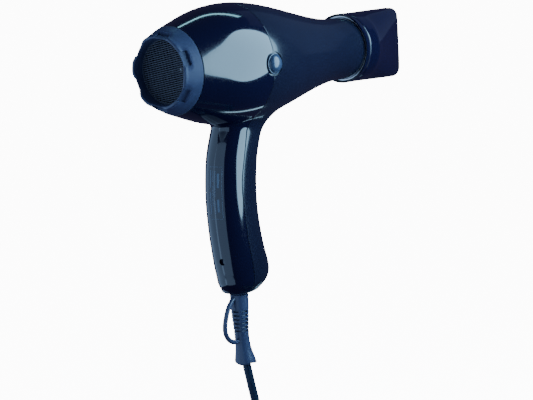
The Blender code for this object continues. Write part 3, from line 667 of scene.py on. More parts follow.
@dataclass(frozen=True)
class Mica:
    """Pressed mica sheet: flakes of two warm greys with a soft glint."""

    name: str = "pressed_mica"

    def make(self, groups: Groups) -> bpy.types.Material:
        """Build the material.

        Args:
            groups: The shared node groups.

        Returns:
            The material.
        """
        material, sheet, shader = start_material(self.name)
        where = sheet.add("ShaderNodeTexCoord").outputs["Object"]
        flakes = sheet.add("ShaderNodeTexVoronoi", {"Vector": where, "Scale": 420.0})
        ramp = sheet.add("ShaderNodeMapRange", {"Value": flakes.outputs["Color"]})
        colour = sheet.add("ShaderNodeMix", {"Factor": ramp.outputs["Result"], 6: (0.50, 0.40, 0.27, 1.0),
                                             7: (0.68, 0.60, 0.46, 1.0)}, data_type="RGBA")
        rough = sheet.add("ShaderNodeMapRange", {"Value": flakes.outputs["Color"], "To Min": 0.35,
                                                 "To Max": 0.7})
        surface = sheet.use(groups.moulded, {"Grain Scale": 900.0, "Grain Depth": 0.5})
        bump = sheet.add("ShaderNodeBump", {"Height": surface.outputs["Height"], "Strength": 0.4,
                                            "Distance": 0.0001})
        links = material.node_tree.links
        links.new(colour.outputs[2], shader.inputs["Base Color"])
        links.new(rough.outputs["Result"], shader.inputs["Roughness"])
        links.new(bump.outputs["Normal"], shader.inputs["Normal"])
        return material


class Finishes:
    """Every finish of the dryer, made once from the shared groups."""

    def __init__(self) -> None:
        """Make the materials."""
        groups = Groups()
        self.navy = Plastic("gloss_navy_plastic", (0.0042, 0.0038, 0.018), (0.0048, 0.0044, 0.021), 0.085,
                            smudge=0.03, coat=0.6, coat_roughness=0.025, wave_scale=34.0, wave_depth=1.0,
                            bump_distance=0.00006, worn_colour=(0.03, 0.04, 0.08)).make(groups)
        self.slate = Plastic("gloss_slate_plastic", (0.0080, 0.0090, 0.022), (0.0095, 0.0105, 0.026), 0.16,
                             smudge=0.04, coat=0.35, coat_roughness=0.05, wave_scale=34.0, wave_depth=1.0,
                             bump_distance=0.00006, worn_colour=(0.03, 0.04, 0.08)).make(groups)
        self.satin = Plastic("satin_blue_grey_plastic", (0.050, 0.058, 0.120), (0.058, 0.066, 0.132), 0.33,
                             smudge=0.08, grain_scale=1900.0, grain_depth=1.0, bump_distance=0.00003,
                             worn_colour=(0.06, 0.09, 0.15), wear=0.4).make(groups)
        self.badge = Plastic("badge_satin", (0.040, 0.060, 0.110), (0.045, 0.066, 0.120), 0.26, coat=0.5,
                             coat_roughness=0.08, grain_scale=1900.0, grain_depth=0.4,
                             bump_distance=0.00002).make(groups)
        self.screen = Plastic("screen_nylon", (0.034, 0.034, 0.058), (0.044, 0.042, 0.068), 0.42,
                              grain_scale=2400.0, grain_depth=0.6, bump_distance=0.00002).make(groups)
        self.black = Plastic("matt_black_plastic", (0.008, 0.008, 0.010), (0.012, 0.012, 0.015), 0.48,
                             smudge=0.1, grain_scale=1800.0, grain_depth=1.0,
                             bump_distance=0.00004).make(groups)
        self.white = Plastic("matt_white_plastic", (0.70, 0.68, 0.62), (0.62, 0.60, 0.54), 0.45,
                             smudge=0.1, grain_scale=1800.0, grain_depth=1.0, bump_distance=0.00004,
                             worn_colour=(0.8, 0.79, 0.75)).make(groups)
        self.rubber = Plastic("cord_sheath", (0.012, 0.022, 0.050), (0.018, 0.030, 0.062), 0.30,
                              smudge=0.1, grain_scale=1300.0, grain_depth=0.8, wave_scale=120.0,
                              wave_depth=0.6, bump_distance=0.00006,
                              worn_colour=(0.06, 0.08, 0.12)).make(groups)
        self.print_ink = Plastic("pale_print", (0.11, 0.17, 0.25), (0.07, 0.11, 0.17), 0.4,
                                 grain_scale=900.0, grain_depth=0.4, bump_distance=0.00002).make(groups)
        self.brown = Plastic("brown_insulation", (0.12, 0.05, 0.02), (0.10, 0.04, 0.015), 0.42).make(groups)
        self.blue = Plastic("blue_insulation", (0.02, 0.08, 0.35), (0.02, 0.07, 0.28), 0.42).make(groups)
        self.strap = Plastic("woven_strap", (0.010, 0.010, 0.012), (0.020, 0.020, 0.024), 0.85,
                             smudge=0.1, grain_scale=2600.0, grain_depth=1.0,
                             bump_distance=0.0003).make(groups)
        self.steel = Steel("plated_steel", (0.58, 0.58, 0.60), 0.22, 0.2).make(groups)
        self.mica = Mica().make(groups)


# ------------------------------------------------------------------ housing

@dataclass(frozen=True)
class ShellForm:
    """Smooth form of the barrel and the handle, joined by a fillet."""

    barrel: Knots = ((0, 30.0), (14, 34.57), (30, 39.27), (45, 41.7), (60, 42.28), (80, 40.3),
                     (105, 35.18), (130, 29.26), (150, 25.15), (165, 23.29), (184, 23.2), (196, 23.2))
    centre: Knots = ((-162.4, 54.0), (-159.6, 56.1), (-155.6, 57.9), (-151.5, 59.1), (-146, 59.0),
                     (-134, 56.4), (-120, 53.8), (-107, 52.3), (-92, 51.8), (-77, 52.9), (-65, 54.8),
                     (-53, 58.6), (-40, 63.4))
    depth: Knots = ((-162.4, 7.0), (-161.6, 11.0), (-159.6, 14.8), (-155.6, 18.4), (-151.5, 20.6),
                    (-146, 21.8), (-134, 21.2), (-120, 20.4), (-107, 19.9), (-92, 19.7), (-77, 19.7),
                    (-65, 19.9), (-53, 20.0), (-40, 19.5))
    width: Knots = ((-162.4, 7.0), (-161.6, 9.4), (-159.6, 11.8), (-155.6, 14.2), (-151.5, 15.2),
                    (-146, 15.5), (-120, 15.5), (-92, 15.5), (-65, 15.5), (-40, 15.5))
    parting: Knots = ((-162.4, 54.0), (-155, 54.6), (-140, 53.4), (-125, 50.6), (-107, 48.4),
                      (-90, 47.3), (-81, 47.6), (-68, 50.2), (-45.1, 55.7), (-40, 56.8))
    squareness: float = 2.2
    handle_top_z: float = -25.0
    rear_fillet: float = 5.0
    front_fillet: float = 13.0

    def __post_init__(self) -> None:
        """Make the splines through the knots."""
        for name in ("barrel", "centre", "depth", "width", "parting"):
            object.__setattr__(self, f"{name}_at", curve_through(getattr(self, name)))

    def distance(self, points: np.ndarray) -> np.ndarray:
        """Distance-like value of points, zero on the skin and positive outside.

        Args:
            points: Rows of x, y, z in barrel axes.

        Returns:
            One value for each point.
        """
        x, y, z = points.T
        barrel = np.hypot(y, z) - self.barrel_at(x)
        depth, width = self.depth_at(z), self.width_at(z)
        across = (np.abs((x - self.centre_at(z)) / depth) ** self.squareness
                  + np.abs(y / width) ** self.squareness) ** (1 / self.squareness)
        handle = (across - 1.0) * width + np.maximum(z - self.handle_top_z, 0.0)
        mix = np.clip((x - 45.0) / 30.0, 0.0, 1.0)
        fillet = self.rear_fillet + (self.front_fillet - self.rear_fillet) * mix * mix * (3 - 2 * mix)
        overlap = np.maximum(fillet - np.abs(barrel - handle), 0.0) / fillet
        return np.minimum(barrel, handle) - overlap * overlap * fillet / 4

    def slope(self, points: np.ndarray, nudge: float = 0.05) -> np.ndarray:
        """Gradient of distance() at points."""
        return np.stack([(self.distance(points + step) - self.distance(points - step)) / (2 * nudge)
                         for step in np.eye(3) * nudge], axis=1)

    def project(self, points: np.ndarray, rounds: int = 6) -> np.ndarray:
        """Bring points onto the skin by Newton steps.

        Args:
            points: Points near the skin.
            rounds: Number of steps.

        Returns:
            The points on the skin.
        """
        for _ in range(rounds):
            slope = self.slope(points)
            points = points - slope * (self.distance(points) / np.sum(slope * slope, axis=1))[:, None]
        return points

    def normal(self, points: np.ndarray) -> np.ndarray:
        """Outward unit normal of the skin at points."""
        slope = self.slope(points)
        return slope / np.linalg.norm(slope, axis=1)[:, None]

    def section(self, z: float, turn: np.ndarray, half: np.ndarray, seam: int) -> np.ndarray:
        """Points round the handle at a height.

        Args:
            z: The height.
            turn: Angles round the section, 0 at the front.
            half: The angles of one side.
            seam: Index in half of the parting line, which is drawn to the parting curve.

        Returns:
            Points in barrel axes.
        """
        centre, depth, width = self.centre_at(z), self.depth_at(z), self.width_at(z)
        offset = float(np.clip((self.parting_at(z) - centre) / depth, -0.9, 0.9))
        parting = math.acos(math.copysign(abs(offset) ** (self.squareness / 2), offset))
        magnitude = np.abs(turn)
        seam_turn = half[seam]
        eased = np.where(magnitude <= seam_turn, magnitude * parting / seam_turn,
                         math.pi - (math.pi - magnitude) * (math.pi - parting) / (math.pi - seam_turn))
        angles = np.sign(turn) * eased
        cos, sin = np.cos(angles), np.sin(angles)
        x = centre + depth * np.sign(cos) * np.abs(cos) ** (2 / self.squareness)
        y = width * np.sign(sin) * np.abs(sin) ** (2 / self.squareness)
        return np.stack((x, -y, np.full_like(x, z)), axis=1)


def split_steps(stops: Sequence[float], parts: int) -> np.ndarray:
    """The stops with each interval divided into equal parts."""
    fine = [np.linspace(a, b, parts, endpoint=False) for a, b in zip(stops, stops[1:])]
    return np.concatenate(fine + [np.array([stops[-1]])])


@dataclass
class Housing:
    """The two moulded halves of barrel and handle, and what sits in their skin.

    The skin flows from a round barrel into an oval handle through a fillet, so its grid of quads is
    laid out here: no operator makes that shape. Everything else on it is cut or bevelled.
    """

    finishes: Finishes
    form: ShellForm = field(default_factory=ShellForm)
    wall: float = 2.5
    parts: int = 4
    rim_round: float = 0.3
    badge_floor: float = 40.9
    badge_recess: float = 8.5
    badge_radius: float = 7.1
    badge_rise: float = 3.6
    window: tuple[Point, Point] = ((69.5, 0.0, -91.0), (16.0, 11.4, 44.6))
    screw: Point = (35.7, -2.5, -137.0)
    screw_bore: float = 2.4
    screw_depth: float = 1.8

    def grid(self) -> tuple[np.ndarray, list[tuple[int, ...]], np.ndarray]:
        """Outer skin of the whole shell.

        Returns:
            Points, quads, and for each quad whether it belongs to the front half.
        """
        parts = self.parts
        rear_x = split_steps((0.15, 5, 14, 24, 33, 42, 47.2, 52.4, SEAM_X), parts)
        front_x = split_steps((SEAM_X, 63.7, 70, 76.3, 82.5, 91, 104, 118, 133, 150, 167, 184,
                               BARREL_END_X), parts)
        stations = np.concatenate((rear_x, front_x[1:]))
        side = np.radians(split_steps((0, 10.5, 21.5, *(21.5 + 15.85 * k for k in range(1, 11))), parts))
        around = np.concatenate((side, -side[-2:0:-1]))
        columns, patch_half = len(around), 2 * parts
        seam = len(rear_x) - 1
        patch_rear, patch_front = 5 * parts, seam + 4 * parts

        radius = self.form.barrel_at(stations)
        points = [(x, -r * math.sin(a), -r * math.cos(a)) for x, r in zip(stations, radius) for a in around]
        quads, front = [], []
        for i in range(len(stations) - 1):
            for k in range(columns):
                inside_patch = k < patch_half or k >= columns - patch_half
                if patch_rear <= i < patch_front and inside_patch:
                    continue
                n = (k + 1) % columns
                here, ahead = i * columns, (i + 1) * columns
                quads.append((here + k, here + n, ahead + n, ahead + k))
                front.append(i >= seam)

        loop = [(patch_front, k) for k in range(0, patch_half + 1)]
        loop += [(i, patch_half) for i in range(patch_front - 1, patch_rear - 1, -1)]
        loop += [(patch_rear, k) for k in range(patch_half - 1, -patch_half - 1, -1)]
        loop += [(i, -patch_half) for i in range(patch_rear + 1, patch_front + 1)]
        loop += [(patch_front, k) for k in range(-patch_half + 1, 0)]
        previous = [i * columns + k % columns for i, k in loop]
        start = np.array([points[i] for i in previous])

        front_turn = split_steps((0, 14, 30, 47, 64, 81), parts)
        rear_turn = split_steps((98, 115, 132, 150, 166, 180), parts)
        half = np.radians(np.concatenate((front_turn[:-1], split_steps((81, 98), parts)[:-1], rear_turn)))
        turn = np.concatenate((half, -half[-2:0:-1]))
        seam_index = 6 * parts
        heights = split_steps((-47.5, -51.5, -57, -65, -78, -92, -107, -121, -134, -144, -151.5,
                               -155.6, -159.6, -161.6, -162.4), parts)
        first = self.form.section(heights[0], turn, half, seam_index)
        rings = [start * (1 - share) + first * share
                 for share in split_steps((0.0, 0.45, 1.0), parts)[1:-1]]
        rings += [self.form.section(z, turn, half, seam_index) for z in heights]
        for ring in rings:
            base = len(points)
            points.extend(map(tuple, ring))
            current = list(range(base, base + len(ring)))
            for k in range(len(ring)):
                n = (k + 1) % len(ring)
                quads.append((previous[n], previous[k], current[k], current[n]))
                front.append(k < seam_index or k >= len(ring) - seam_index)
            previous = current
        whole = np.array(points, dtype=float)
        blended = whole[:, 2] > -80.0
        whole[blended] = self.form.project(whole[blended])
        return whole, quads, np.array(front)

    def half(self, want_front: bool) -> bmesh.types.BMesh:
        """One half: its part of the skin, an inner skin a wall away, and rounded rims between.

        Args:
            want_front: True for the front half, False for the rear half.

        Returns:
            A closed bmesh.
        """
        points, quads, front = self.grid()
        normals = self.form.normal(points)
        mine = [quad for quad, is_front in zip(quads, front) if is_front == want_front]
        other = {i for quad, is_front in zip(quads, front) if is_front != want_front for i in quad}
        shift = GAP / 2 if want_front else -GAP / 2
        bm = bmesh.new()
        outer, inner = {}, {}
        for i in sorted({i for quad in mine for i in quad}):
            point = points[i] + ((shift, 0, 0) if i in other else (0, 0, 0))
            outer[i] = bm.verts.new(point)
            inner[i] = bm.verts.new(point - normals[i] * self.wall)
        walls = set()
        for quad in mine:
            bm.faces.new([outer[i] for i in quad])
            bm.faces.new([inner[i] for i in reversed(quad)])
            walls.update(zip(quad, quad[1:] + quad[:1]))
        rims = []
        for a, b in walls:
            if (b, a) not in walls:
                bm.faces.new((outer[b], outer[a], inner[a], inner[b]))
                rims.append(bm.edges.get((outer[a], outer[b])))
        bmesh.ops.recalc_face_normals(bm, faces=bm.faces[:])
        bmesh.ops.bevel(bm, geom=rims, offset=self.rim_round, segments=2, profile=0.5, affect="EDGES",
                        material=-1, clamp_overlap=True)
        return bm

    def flow_normals(self, item: bpy.types.Object) -> None:
        """Shade the outer skin with the exact normals of the form, so that gloss runs smoothly.

        Args:
            item: The finished half, changed in place.
        """
        mesh = item.data
        points = np.zeros(len(mesh.vertices) * 3)
        mesh.vertices.foreach_get("co", points)
        points = points.reshape(-1, 3) / MM + np.array(GRIP)
        on_skin = np.abs(self.form.distance(points)) < 0.03
        exact = self.form.normal(points)
        corners = np.zeros(len(mesh.loops) * 3)
        mesh.corner_normals.foreach_get("vector", corners)
        corners = corners.reshape(-1, 3)
        vertex = np.zeros(len(mesh.loops), dtype=int)
        mesh.loops.foreach_get("vertex_index", vertex)
        faces = np.zeros(len(mesh.polygons) * 3)
        mesh.polygons.foreach_get("normal", faces)
        sizes = np.zeros(len(mesh.polygons), dtype=int)
        mesh.polygons.foreach_get("loop_total", sizes)
        of_face = np.repeat(faces.reshape(-1, 3), sizes, axis=0)
        along = np.sum(of_face * exact[vertex], axis=1)
        use = on_skin[vertex] & (along > 0.94)
        corners[use] = exact[vertex][use]
        mesh.normals_split_custom_set(corners.tolist())

    def build(self) -> None:
        """Build both halves, the badges and the rating panel."""
        for name, want_front, finish, slot in (
                ("rear_housing", False, self.finishes.navy, Slot.NAVY),
                ("front_housing", True, self.finishes.slate, Slot.SLATE)):
            item = as_object(name, self.half(want_front))
            tools = []
            for side, sign in ((Along.LEFT, 1), (Along.RIGHT, -1)):
                recess = ((0, 0), (0, self.badge_recess), (8, self.badge_recess), (8, 0))
                tools.append(turned(recess, 64, (SEAM_X, sign * self.badge_floor, 0), side, closed=False))
            if want_front:
                tools.append(rounded_box(*self.window, 1.2))
            else:
                depth, radius = self.screw_depth, self.screw_bore
                bore = ((-5, 0), (-5, radius), (depth, radius), (depth, 0))
                tools.append(turned(bore, 40, self.screw, closed=False))
            carve(item, tools)
            self.flow_normals(item)
            publish(item, finish, Body.HOUSING, slot, "front_shell" if want_front else "rear_shell")
        self.build_badges()
        self.build_panel()

    def build_badges(self) -> None:
        """A plain domed button with a narrow rim in the recess on each side."""
        radius = self.badge_radius
        dome = [(0, 0), (0, radius), (0.95, radius), (1.3, radius - 0.2), (1.35, radius - 0.5),
                (1.15, radius - 0.7)]
        inner = radius - 0.85
        dome += [(1.2 + self.badge_rise * math.sin(t), inner * math.cos(t))
                 for t in np.linspace(0.06, math.pi / 2, 14)]
        dome[-1] = (1.2 + self.badge_rise, 0.0)
        for name, side, sign in (("badge_left", Along.LEFT, 1), ("badge_right", Along.RIGHT, -1)):
            bm = turned(dome, 72, (SEAM_X, sign * (self.badge_floor + 0.3), 0), side, closed=False)
            publish(as_object(f"{name}_dome", bm), self.finishes.badge, Body.HOUSING, Slot.SATIN, name)

    def build_panel(self) -> None:
        """Rating panel printed on the rear of the handle: an outline and plain bars, no lettering."""
        top, bottom, left, right = -69.5, -106.0, 2.8, -7.6
        corner = 1.4
        outline = []
        for centre_y, centre_z, start in ((left - corner, top - corner, 0),
                                          (right + corner, top - corner, 90),
                                          (right + corner, bottom + corner, 180),
                                          (left - corner, bottom + corner, 270)):
            for step in range(0, 91, 15):
                angle = math.radians(start + step)
                outline.append((centre_y + corner * math.cos(angle), centre_z + corner * math.sin(angle)))
        strips = [(outline + outline[:1], 0.22)]
        for y, z_from, z_to, thick in ((1.1, -72.0, -84.0, 0.7), (1.1, -87.0, -102.5, 0.7),
                                       (-1.0, -72.0, -80.0, 0.45), (-1.0, -82.5, -97.0, 0.45),
                                       (-2.7, -72.0, -90.0, 0.45), (-2.7, -93.0, -103.0, 0.45),
                                       (-5.0, -74.0, -84.0, 1.5), (-5.0, -92.0, -101.0, 1.5)):
            strips.append(([(y, z_from), (y, z_to)], thick))
        bm = bmesh.new()
        for points, thick in strips:
            self.print_strip(bm, points, thick)
        publish(as_object("rating_panel", bm), self.finishes.print_ink, Body.HOUSING, Slot.SATIN)

    def print_strip(self, bm: bmesh.types.BMesh, points: Knots, thick: float) -> None:
        """Lay a thin flat strip along a line on the rear of the handle.

        Args:
            bm: The mesh it is added to.
            points: (y, z) points of its middle line.
            thick: Its width, in millimetres.
        """
        knots = np.array(points, dtype=float)
        run = np.concatenate(([0.0], np.cumsum(np.linalg.norm(np.diff(knots, axis=0), axis=1))))
        steps = np.linspace(0.0, run[-1], max(4, round(run[-1] / 0.35)))
        flat = np.stack([np.interp(steps, run, knots[:, axis]) for axis in range(2)], axis=1)
        ahead = np.gradient(flat, axis=0)
        ahead /= np.maximum(np.linalg.norm(ahead, axis=1), 1e-9)[:, None]
        across = np.stack((-ahead[:, 1], ahead[:, 0]), axis=1) * thick / 2
        skins = []
        for rise in (0.06, -0.08):
            for side in (1, -1):
                yz = flat + side * across
                guess = np.column_stack((self.form.centre_at(yz[:, 1]) - self.form.depth_at(yz[:, 1]), yz))
                on_skin = self.project_along_x(guess)
                skins.append(on_skin + self.form.normal(on_skin) * rise)
        rings = [[bm.verts.new(skins[s][k]) for s in (0, 1, 3, 2)] for k in range(len(flat))]
        for a, b in zip(rings, rings[1:]):
            for s in range(4):
                n = (s + 1) % 4
                bm.faces.new((a[s], a[n], b[n], b[s]))
        bm.faces.new(rings[0])
        bm.faces.new(rings[-1][::-1])
        bmesh.ops.recalc_face_normals(bm, faces=bm.faces[:])

    def project_along_x(self, points: np.ndarray) -> np.ndarray:
        """Move points along x until they lie on the skin.

        Args:
            points: Points near the skin.

        Returns:
            The points on the skin.
        """
        for _ in range(8):
            slope = self.form.slope(points)[:, 0]
            points = points - np.stack((self.form.distance(points) / slope, 0 * slope, 0 * slope), axis=1)
        return points


# ------------------------------------------------------------------ intake

@dataclass
class Intake:
    """Crown-shaped intake cap with six lobes and six tab pockets, and its woven screen."""

    finishes: Finishes
    lobes: int = 6
    twist: float = math.radians(-22.0)
    lobe_start: float = 6.0
    lobe_reach: float = 5.0
    lobe_drop: float = 1.3
    lobe_pinch: float = 0.02
    pocket_half: float = 5.3
    pocket_end: float = -6.3
    pocket_depth: float = 2.3
    cap_start: float = -0.15
    cap_radius: float = 29.8
    cone_length: float = 10.85
    cone_fall: float = 4.4
    cone_slope: float = math.atan2(cone_fall, cone_length)
    screen_x: float = -5.0
    screen_radius: float = 21.9
    bar_pitch: float = 1.42
    screen_turn: float = math.radians(-10.5)

    def build(self) -> None:
        """Build the cap and the screen."""
        self.build_cap()
        self.build_screen()

    def build_cap(self) -> None:
        """Turn the cap, wave its rim and cut the pockets."""
        outside = [(self.cap_start - self.cone_length * k / 10, self.cap_radius - self.cone_fall * k / 10)
                   for k in range(11)]
        rim = [(-11.5 - 1.2 * math.sin(t), 24.0 + 1.28 * math.cos(t))
               for t in np.radians(range(20, 181, 20))]
        inside = [(-10.5, 22.3), (-9.0, 22.0), (-7.5, 21.8), (-5.6, 21.6), (-5.6, 22.9), (-3.0, 22.9),
                  (-3.0, 24.6), (5.5, 24.6), (5.5, 26.7), (self.cap_start, 26.7)]
        bm = turned(outside + rim + inside, 168)
        for vert in bm.verts:
            height = -vert.co.x
            if height <= self.lobe_start:
                continue
            angle = math.atan2(vert.co.y, -vert.co.z) - self.twist
            hollow = 0.5 - 0.5 * math.cos(self.lobes * angle)
            hollow = smoothstep(1.35 * hollow - 0.1)
            reach = smoothstep((height - self.lobe_start) / self.lobe_reach)
            vert.co.x += self.lobe_drop * hollow * reach
            vert.co.y *= 1.0 - self.lobe_pinch * hollow * reach
            vert.co.z *= 1.0 - self.lobe_pinch * hollow * reach
        cap = as_object("intake_crown", bm)
        carve(cap, [self.pocket(k) for k in range(self.lobes)])
        publish(cap, self.finishes.satin, Body.INTAKE, Slot.SATIN, "intake_cap")

    def pocket(self, index: int) -> bmesh.types.BMesh:
        """Cutter of one tab pocket, open at the rim, its floor along the cone.

        Args:
            index: Which pocket, counted round the cap.

        Returns:
            A closed bmesh.
        """
        length, lift = 14.0, 6.0
        bm = rounded_box((0, 0, 0), (length, 2 * self.pocket_half, lift), 0.0)
        corners = [edge for edge in bm.edges
                   if abs(edge.verts[0].co.x - edge.verts[1].co.x) < 1e-6
                   and abs(edge.verts[0].co.y - edge.verts[1].co.y) < 1e-6 and edge.verts[0].co.x > 0]
        bmesh.ops.bevel(bm, geom=corners, offset=1.1, segments=5, profile=0.5, affect="EDGES", material=-1)
        radius = self.cap_radius + (self.pocket_end - self.cap_start) * math.tan(self.cone_slope)
        tilt = Matrix.Rotation(-self.cone_slope, 4, "Y")
        base = Matrix.Translation((self.pocket_end, 0, radius - self.pocket_depth))
        shift = Matrix.Translation((-length / 2, 0, lift / 2))
        turn = math.tau * index / self.lobes - self.twist - math.pi / 2
        bm.transform(Matrix.Rotation(-turn, 4, "X") @ base @ tilt @ shift)
        return bm

    def build_screen(self) -> None:
        """Weave the screen from fine bars, dense across and sparse upright."""
        bars = bmesh.new()
        count = int(self.screen_radius / self.bar_pitch)
        for k in range(-count, count + 1):
            offset = k * self.bar_pitch
            half = math.sqrt(max(0.0, self.screen_radius ** 2 - offset ** 2))
            if half < 2.0:
                continue
            across = Matrix.Translation((self.screen_x - 0.25, 0, offset))
            across @= Matrix.Rotation(math.pi / 2, 4, "X")
            bmesh.ops.create_cone(bars, cap_ends=True, segments=8, radius1=0.36, radius2=0.36,
                                  depth=2 * half, matrix=across)
            if k % 2:
                continue
            upright = Matrix.Translation((self.screen_x + 0.35, offset, 0))
            bmesh.ops.create_cone(bars, cap_ends=True, segments=8, radius1=0.2, radius2=0.2,
                                  depth=2 * half, matrix=upright)
        ring = ((self.screen_x - 0.5, 21.2), (self.screen_x - 0.5, 22.4), (self.screen_x + 1.6, 22.4),
                (self.screen_x + 1.6, 21.2))
        bars.transform(Matrix.Rotation(self.screen_turn, 4, "X"))
        screen = as_object("intake_screen", merged([bars, turned(ring, 96)]))
        publish(screen, self.finishes.screen, Body.INTAKE, Slot.BLACK, "intake_mesh")


# ------------------------------------------------------------------ nozzle

@dataclass
class Nozzle:
    """Concentrator nozzle: a round collar that flattens into an upright slot."""

    finishes: Finishes
    start: float = 182.6
    collar_end: float = 198.0
    end: float = 249.7
    radius: float = 26.1
    half_height: float = 26.8
    half_width: float = 5.9
    wall: float = 1.6
    corner: float = 6.5
    count: int = 112

    def ring(self, x: float, inset: float) -> list[Point]:
        """Section of the nozzle, whose corners sweep back towards the mouth.

        Args:
            x: Where along the barrel.
            inset: Distance inside the outer skin.

        Returns:
            Points round the section.
        """
        share = min(1.0, max(0.0, (x - self.collar_end) / (self.end - self.collar_end)))
        half_z = self.radius + (self.half_height - self.radius) * share - inset
        half_y = self.radius + (self.half_width - self.radius) * share ** 0.92 - inset
        power = 2.0 + 3.2 * share ** 1.5
        ring = []
        for a, b in superellipse(half_z, half_y, power, self.count):
            past = max(0.0, abs(a) - (half_z - self.corner)) / self.corner
            cut = self.corner * (1.0 - math.sqrt(max(0.0, 1.0 - min(past, 0.999) ** 2)))
            ring.append((x - cut * smoothstep((share - 0.55) / 0.45), b, a))
        return ring

    def build(self) -> None:
        """Build the nozzle with its lipped collar and rounded mouth."""
        lip = self.start
        outer = [(lip + 0.25, 1.0), (lip, 0.75), (lip, 0.35), (lip + 0.3, 0.05), (lip + 0.8, 0.0),
                 (lip + 3.2, 0.0), (lip + 3.5, 0.12), (lip + 3.7, 0.45), (lip + 4.1, 0.45), (lip + 4.3, 0.12),
                 (lip + 4.6, 0.0)]
        outer += [(x, 0.0) for x in np.linspace(lip + 8.0, self.collar_end, 4)]
        outer += [(x, 0.0) for x in np.linspace(self.collar_end, self.end - 0.7, 26)[1:]]
        outer += [(self.end - 0.2, 0.15), (self.end, 0.55), (self.end, 1.0), (self.end - 0.3, 1.45)]
        inner = [(x, self.wall) for x in np.linspace(self.end - 1.5, 206.0, 20)]
        inner += [(BARREL_END_X + 0.5, 3.6), (BARREL_END_X + 0.5, 1.4), (lip + 0.5, 1.4)]
        bm = loft([self.ring(float(x), inset) for x, inset in outer + inner], looped=True)
        nozzle = as_object("nozzle_shell", bm)
        publish(nozzle, self.finishes.navy, Body.NOZZLE, Slot.NAVY, "concentrator_nozzle")


# ------------------------------------------------------------------ switches

@dataclass
class Switches:
    """Switch plate on the finger side of the handle, with two rockers and a button."""

    finishes: Finishes
    front: float = 71.0
    back: float = 67.9
    low: float = -113.0
    high: float = -69.0
    half_width: float = 5.4
    rockers: tuple[tuple[str, float, Body], ...] = (("speed_rocker", -78.0, Body.SPEED),
                                                    ("heat_rocker", -94.0, Body.HEAT))
    pivot_x: float = 66.1
    button_z: float = -106.5
    spring_start: float = 64.0
    spring_length: float = 1.4
    spring_radius: float = 1.9
    spring_turns: int = 2
    wire_radius: float = 0.15

    def build(self) -> None:
        """Build the plate, the rockers and the button."""
        middle = ((self.front + self.back) / 2, 0.0, (self.low + self.high) / 2)
        size = (self.front - self.back, 2 * self.half_width, self.high - self.low)
        plate = rounded_box(middle, size, 0.7, 4)
        tools = [rounded_box((middle[0], 0, z), (10.0, 8.6, 14.2), 0.5) for _, z, _ in self.rockers]
        hole = ((-5, 0), (-5, 3.3), (5, 3.3), (5, 0))
        tools.append(turned(hole, 48, (middle[0], 0, self.button_z), closed=False))
        plate_item = as_object("switch_plate", plate)
        carve(plate_item, tools)
        publish(plate_item, self.finishes.black, Body.HOUSING, Slot.BLACK, "switch_bezel")
        for name, z, body in self.rockers:
            self.build_rocker(name, z, body)
        profile = [(0, 0), (0, 3.0), (5.9, 3.0), (6.25, 2.85), (6.45, 2.5), (6.4, 1.6), (6.2, 0.0)]
        button = turned(profile, 48, (66.0, 0, self.button_z), closed=False)
        publish(as_object("cold_shot_cap", button), self.finishes.satin, Body.COLD_SHOT, Slot.SATIN,
                "cold_shot_button")
        self.build_spring()

    def build_spring(self) -> None:
        """Wire spring behind the button."""
        steps = self.spring_turns * 24
        rings = []
        for k in range(steps + 1):
            angle = math.tau * self.spring_turns * k / steps
            out = (math.cos(angle), math.sin(angle))
            along = self.spring_start + self.spring_length * k / steps
            ring = []
            for side in range(8):
                lean = math.tau * side / 8
                reach = self.spring_radius + self.wire_radius * math.cos(lean)
                ring.append((along + self.wire_radius * math.sin(lean), reach * out[0],
                             self.button_z + reach * out[1]))
            rings.append(ring)
        spring = as_object("press_spring", loft(rings))
        publish(spring, self.finishes.steel, Body.HOUSING, Slot.STEEL, "button_spring")
        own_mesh(spring)

    def build_rocker(self, name: str, z: float, body: Body) -> None:
        """One rocker: dished face, rounded edges and three grip grooves at each end.

        Args:
            name: The CAD node that it replaces.
            z: Height of its pivot.
            body: The body that it tilts with.
        """
        face = [(5.55 + 1.05 * (t / 5.7) ** 2, t) for t in np.linspace(5.7, -5.7, 15)]
        outline = [(-1.2, 6.0), (1.8, 6.45)] + face + [(1.8, -6.45), (-1.2, -6.0)]
        rings = [[(self.pivot_x + a, y, z + b) for a, b in outline] for y in (-3.9, 3.9)]
        bm = loft(rings)
        soften(bm, 0.35, 3, least=60.0)
        item = as_object(f"{name}_key", bm)
        grooves = []
        for end in (-1, 1):
            for step in (3.1, 4.1, 5.1):
                height = self.pivot_x + 5.55 + 1.05 * (step / 5.7) ** 2
                grooves.append(rounded_box((height, 0, z + end * step), (0.7, 6.2, 0.45), 0.2, 2))
        carve(item, [merged(grooves)])
        publish(item, self.finishes.satin, body, Slot.SATIN, name)


# ------------------------------------------------------------------ strain relief

